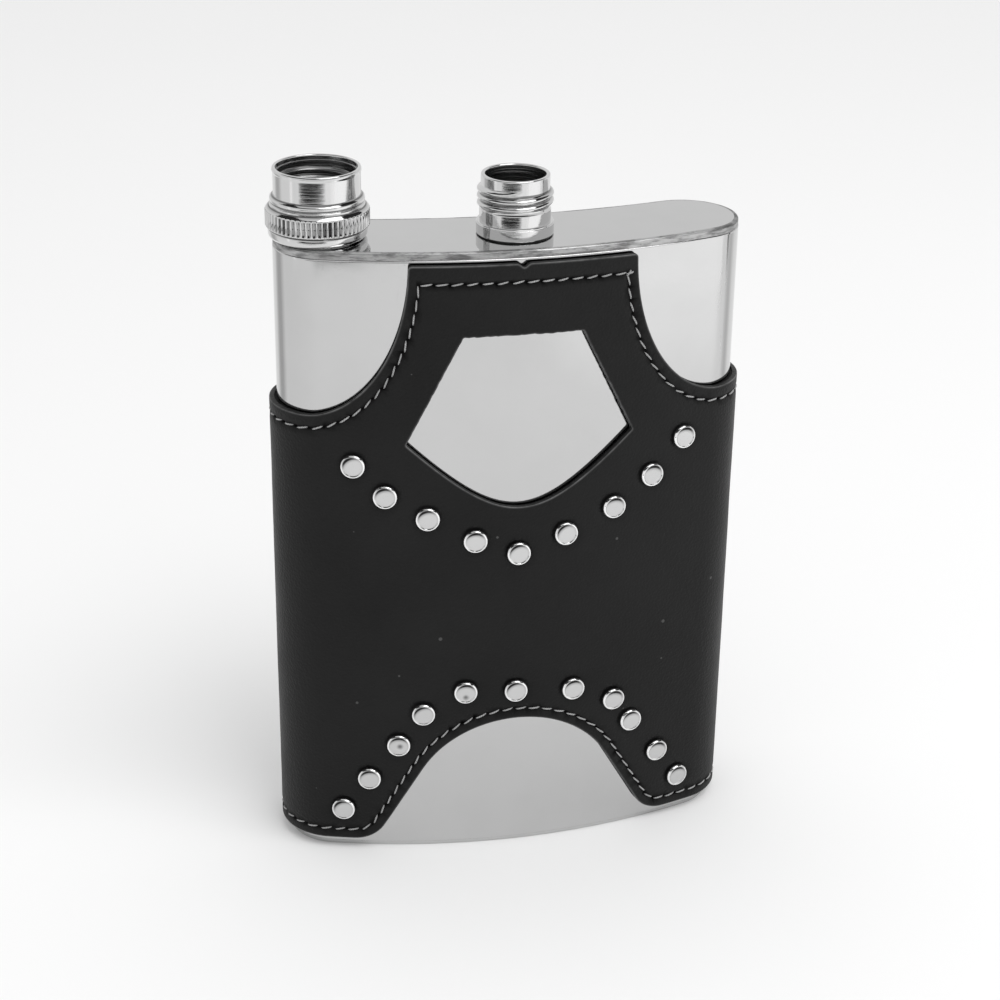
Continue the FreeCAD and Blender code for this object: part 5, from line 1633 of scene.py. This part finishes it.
def build_studs():
    """The studs' heads, each a little differently seated, two of them dented."""
    scene = bpy.context.scene
    wrap, studs = scene.flask_wrap, scene.flask_studs
    outline = kidney()
    dice = random.Random(11)
    template = stud_template(studs)
    face = wrap.lining + wrap.leather - 0.06 * MM
    for places, name in ((UPPER_STUDS, "upper_studs"), (LOWER_STUDS, "lower_studs")):
        bm = bmesh.new()
        for along, height in places:
            copy = template.copy()
            dent = DENTED.get((along, height))
            if dent:
                for vert in copy.vertices:
                    away = math.hypot(vert.co.x - dent[0] * MM, vert.co.y - dent[1] * MM) / DENT_WIDTH
                    if away < 1 and vert.co.z > studs.high / 2:
                        deep = (1 - away ** 2) ** 2
                        vert.co.z -= DENT_DEPTH * deep
                        # darker in the dent
                        dent_darkness = copy.attributes["groove"].data[vert.index]
                        dent_darkness.value = max(dent_darkness.value, DENT_DARKENING * deep)
            tilt = Matrix.Rotation(dice.uniform(-STUD_TILT, STUD_TILT), 4, "X")
            tilt = tilt @ Matrix.Rotation(dice.uniform(-STUD_TILT, STUD_TILT), 4, "Y")
            turn = dice.uniform(-STUD_TURN, STUD_TURN)
            copy.transform(laid(outline, along * MM, height * MM, turn, face) @ tilt)
            bm.from_mesh(copy)
            bpy.data.meshes.remove(copy)
        finish_piece(bm, name.replace("studs", "stud_heads"), finish("nickel_studs"), "flask",
                     (name,), sharp=STEEL_SHARP)
    bpy.data.meshes.remove(template)


# ---------------------------------------------------------------- the stage

# Each card's name, heading, distance, height, size, light, softness of its edges, and if it lies flat.
CARDS = (
    ("right_panel", 54, 0.26, 0.10, (0.24, 0.14), 1.35, (0.25, 0.2), False),
    ("left_strip", -80, 0.30, 0.105, (0.060, 0.14), 1.2, (0.9, 0.3), False),
    ("dark_table", -25, 0.54, 0.001, (0.60, 0.30), 0.0, (0.12, 0.2), True),
    ("dark_post", 91, 0.28, 0.105, (0.030, 0.14), 0.0, (0.4, 0.3), False),
    ("right_floor_glow", 46, 0.42, 0.0015, (0.42, 0.36), 1.28, (0.5, 0.5), True),
    ("right_shade", 100, 0.22, 0.02, (0.12, 0.14), 0.72, (1.0, 0.3), False),
    ("left_shade", -125, 0.24, 0.04, (0.16, 0.16), 0.55, (0.9, 0.4), False),
    ("back_shade", 172, 0.30, 0.03, (0.22, 0.06), 0.6, (0.7, 0.5), False),
)
# The canopy's name, distance, lowest and highest rise, first and last heading, and light.
CANOPY = ("canopy", 1.4, 30, 62, -120, 120, 0.03)


def around(azimuth, distance, height):
    """A place round the flask: azimuth 0 is in front and 90 degrees is to the right."""
    turn = math.radians(azimuth)
    return Vector((math.sin(turn) * distance, -math.cos(turn) * distance, height))


def stage_card(name, azimuth, distance, height, size, level, soft, lies):
    """A flat card that only shows in reflections: lit at a level, or dark at level 0; its edges fade."""
    bm = bmesh.new()
    bmesh.ops.create_grid(bm, x_segments=1, y_segments=1, size=0.5)
    bmesh.ops.scale(bm, verts=bm.verts, vec=(*size, 1))
    card = to_object(name, to_mesh(name, bm))
    card.location = around(azimuth, distance, height)
    facing = UP if lies else -Vector((card.location.x, card.location.y, 0))
    spin = Matrix.Rotation(math.radians(azimuth if lies else 0), 4, "Z").to_quaternion()
    card.rotation_mode = "QUATERNION"
    card.rotation_quaternion = facing.to_track_quat("Z", "Y") @ spin
    only_in_reflections(card)
    material, net, shader = new_material(name)
    split = net.node("ShaderNodeSeparateXYZ")
    net.put(split.inputs[0], net.coords())
    fades = []
    for axis in (0, 1):
        half = size[axis] / 2
        from_middle = net.math("ABSOLUTE", split.outputs[axis])
        fades.append(net.remap(from_middle, half, half * (1 - soft[axis]), smooth=True))
    net.put(shader.inputs["Alpha"], net.math("MULTIPLY", fades[0], fades[1]))
    glow_of(net, shader, level)
    card.data.materials.append(material)


def glow_of(net, shader, level):
    """A card's own even light; level 0 is black."""
    shade = net.remap(net.noise(net.coords(), 6.0, 1.0), 0.3, 0.7, 0.96, 1.0)
    net.put(shader.inputs["Base Color"], net.mix(shade, (0, 0, 0), (0.004, 0.004, 0.004)))
    net.put(shader.inputs["Emission Color"], net.mix(shade, (0, 0, 0), (1, 1, 1)))
    net.put(shader.inputs["Roughness"], net.remap(shade, 0.9, 1.0, 0.9, 1.0))
    shader.inputs["Specular IOR Level"].default_value = 0.0
    shader.inputs["Emission Strength"].default_value = level


def only_in_reflections(card):
    """Hide a card from the camera, from shadows and from soft light."""
    card.visible_camera = False
    card.visible_shadow = False
    card.visible_diffuse = False


def dark_canopy(name, reach, low, high, first, last, level):
    """An arc of dark cloth round the front, well above: it draws dark lines on every turned edge."""
    bm = bmesh.new()
    corners = [around(first, reach * math.cos(rise), reach * math.sin(rise))
               for rise in np.radians(np.linspace(low, high, 5))]
    verts = [bm.verts.new(corner) for corner in corners]
    edges = [bm.edges.new(pair) for pair in zip(verts, verts[1:])]
    sweep = math.radians(last - first)
    bmesh.ops.spin(bm, geom=verts + edges, cent=(0, 0, 0), axis=UP, angle=sweep, steps=32)
    canopy = to_object(name, to_mesh(name, bm))
    only_in_reflections(canopy)
    material, net, shader = new_material(name)
    glow_of(net, shader, level)
    canopy.data.materials.append(material)


def stage_camera(settings):
    """The camera, turned to its heading, its downward look and its tilt."""
    data = bpy.data.cameras.new("camera")
    data.lens = settings.lens
    data.sensor_width = 36.0
    data.clip_start, data.clip_end = 0.01, 20.0
    camera = to_object("camera", data)
    azimuth, elevation = settings.azimuth, settings.elevation
    level = math.cos(elevation)
    back = Vector((math.sin(azimuth) * level, -math.cos(azimuth) * level, math.sin(elevation)))
    roll = Matrix.Rotation(settings.roll, 4, "Z").to_quaternion()
    camera.rotation_mode = "QUATERNION"
    camera.rotation_quaternion = (-back).to_track_quat("-Z", "Y") @ roll
    camera.location = settings.camera_at
    bpy.context.scene.camera = camera


def stage_floor(pale):
    """A wide pale floor."""
    bm = bmesh.new()
    bmesh.ops.create_grid(bm, x_segments=8, y_segments=8, size=3.0)
    floor = to_object("floor", to_mesh("floor", bm))
    material, net, shader = new_material("Floor")
    clouds = net.noise(net.coords(), 3.0, 2.0)
    net.put(shader.inputs["Base Color"], net.mix(clouds, scaled(pale, 0.985), tuple(pale)))
    net.put(shader.inputs["Roughness"], net.remap(clouds, 0.3, 0.7, 0.85, 0.95))
    shader.inputs["Specular IOR Level"].default_value = 0.1
    floor.data.materials.append(material)


def stage_light(surround):
    """Even light from all round, and one soft lamp high in front."""
    world = bpy.data.worlds.new("Surround")
    world.use_nodes = True
    world.node_tree.nodes["Background"].inputs[0].default_value = (*surround, 1)
    bpy.context.scene.world = world
    bpy.context.scene.view_settings.view_transform = "Standard"
    key = bpy.data.lights.new("key", "AREA")
    key.shape = "RECTANGLE"
    key.size, key.size_y = 0.9, 0.6
    key.energy = 6.0
    lamp = to_object("key", key)
    lamp.location = (0.35, -0.55, 1.1)
    lamp.rotation_mode = "QUATERNION"
    lamp.rotation_quaternion = (-lamp.location).to_track_quat("-Z", "Y")


def build_stage():
    """The camera, a plain pale floor, soft light and the cards that the polished steel reflects."""
    settings = bpy.context.scene.flask_stage
    stage_camera(settings)
    stage_floor(settings.floor)
    stage_light(settings.surround)
    for card in CARDS:
        stage_card(*card)
    dark_canopy(*CANOPY)


# ---------------------------------------------------------------- operators

class FLASK_OT_stage(bpy.types.Operator):
    """Set up the camera, the floor and the lights"""

    bl_idname = "flask.make_stage"
    bl_label = "Stage"

    def execute(self, context):
        build_stage()
        return {"FINISHED"}


class FLASK_OT_steel(bpy.types.Operator):
    """Make the wall, the base and the top plate"""

    bl_idname = "flask.make_steel"
    bl_label = "Steel body"

    def execute(self, context):
        build_wall()
        build_base()
        build_top()
        return {"FINISHED"}


class FLASK_OT_neck(bpy.types.Operator):
    """Make the screw neck and its collar, and finish the washer"""

    bl_idname = "flask.make_neck"
    bl_label = "Neck"

    def execute(self, context):
        build_neck()
        build_collar()
        paint("neck_washer", "black_rubber")
        return {"FINISHED"}


class FLASK_OT_cap(bpy.types.Operator):
    """Make the cap's skirt, insert and grip ring, and finish its disc and liner"""

    bl_idname = "flask.make_cap"
    bl_label = "Cap"

    def execute(self, context):
        build_cap_skirt()
        build_cap_insert()
        build_cap_grip()
        paint("cap_end_disc", "turned_steel")
        paint("cap_liner", "black_rubber")
        return {"FINISHED"}


class FLASK_OT_wrap(bpy.types.Operator):
    """Cut the leather and its lining and wrap them round the flask"""

    bl_idname = "flask.make_wrap"
    bl_label = "Leather wrap"

    def execute(self, context):
        build_lining()
        build_leather()
        return {"FINISHED"}


class FLASK_OT_stitches(bpy.types.Operator):
    """Sew the rows of stitches"""

    bl_idname = "flask.make_stitches"
    bl_label = "Stitches"

    def execute(self, context):
        build_stitching()
        return {"FINISHED"}


class FLASK_OT_studs(bpy.types.Operator):
    """Set the studs"""

    bl_idname = "flask.make_studs"
    bl_label = "Studs"

    def execute(self, context):
        build_studs()
        for name in ("upper_stud_backs", "lower_stud_backs"):
            paint(name, "nickel_studs")
        return {"FINISHED"}


def paint(node, name):
    """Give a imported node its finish; its mesh stays as it is."""
    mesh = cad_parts[node].data
    mesh.materials.clear()
    mesh.materials.append(finish(name))


class FLASK_PT_panel(bpy.types.Panel):
    """The flask's steps and sizes"""

    bl_idname = "FLASK_PT_panel"
    bl_label = "Hip flask"
    bl_space_type = "VIEW_3D"
    bl_region_type = "UI"
    bl_category = "Flask"

    def draw(self, context):
        layout = self.layout
        for operator in OPERATORS:
            layout.operator(operator.bl_idname)
        for name in SETTINGS:
            box = layout.box()
            group = getattr(context.scene, name)
            for key in group.__annotations__:
                box.prop(group, key)


OPERATORS = (FLASK_OT_stage, FLASK_OT_steel, FLASK_OT_neck, FLASK_OT_cap, FLASK_OT_wrap, FLASK_OT_stitches,
             FLASK_OT_studs)
SETTINGS = {
    "flask_steel": FlaskSteel,
    "flask_neck": FlaskNeck,
    "flask_cap": FlaskCap,
    "flask_wrap": FlaskWrap,
    "flask_stitching": FlaskStitching,
    "flask_studs": FlaskStuds,
    "flask_stage": FlaskStage,
}


def register():
    """Add the settings, the operators and the panel."""
    for name, group in SETTINGS.items():
        bpy.utils.register_class(group)
        setattr(bpy.types.Scene, name, PointerProperty(type=group))
    for item in (*OPERATORS, FLASK_PT_panel):
        bpy.utils.register_class(item)


def unregister():
    """Take them away again."""
    for item in (FLASK_PT_panel, *reversed(OPERATORS)):
        bpy.utils.unregister_class(item)
    for name, group in SETTINGS.items():
        delattr(bpy.types.Scene, name)
        bpy.utils.unregister_class(group)


def main():
    """Make everything in order."""
    register()
    bpy.ops.flask.make_stage()
    bpy.ops.flask.make_steel()
    bpy.ops.flask.make_neck()
    bpy.ops.flask.make_cap()
    bpy.ops.flask.make_wrap()
    bpy.ops.flask.make_stitches()
    bpy.ops.flask.make_studs()


if __name__ == "__main__":
    main()
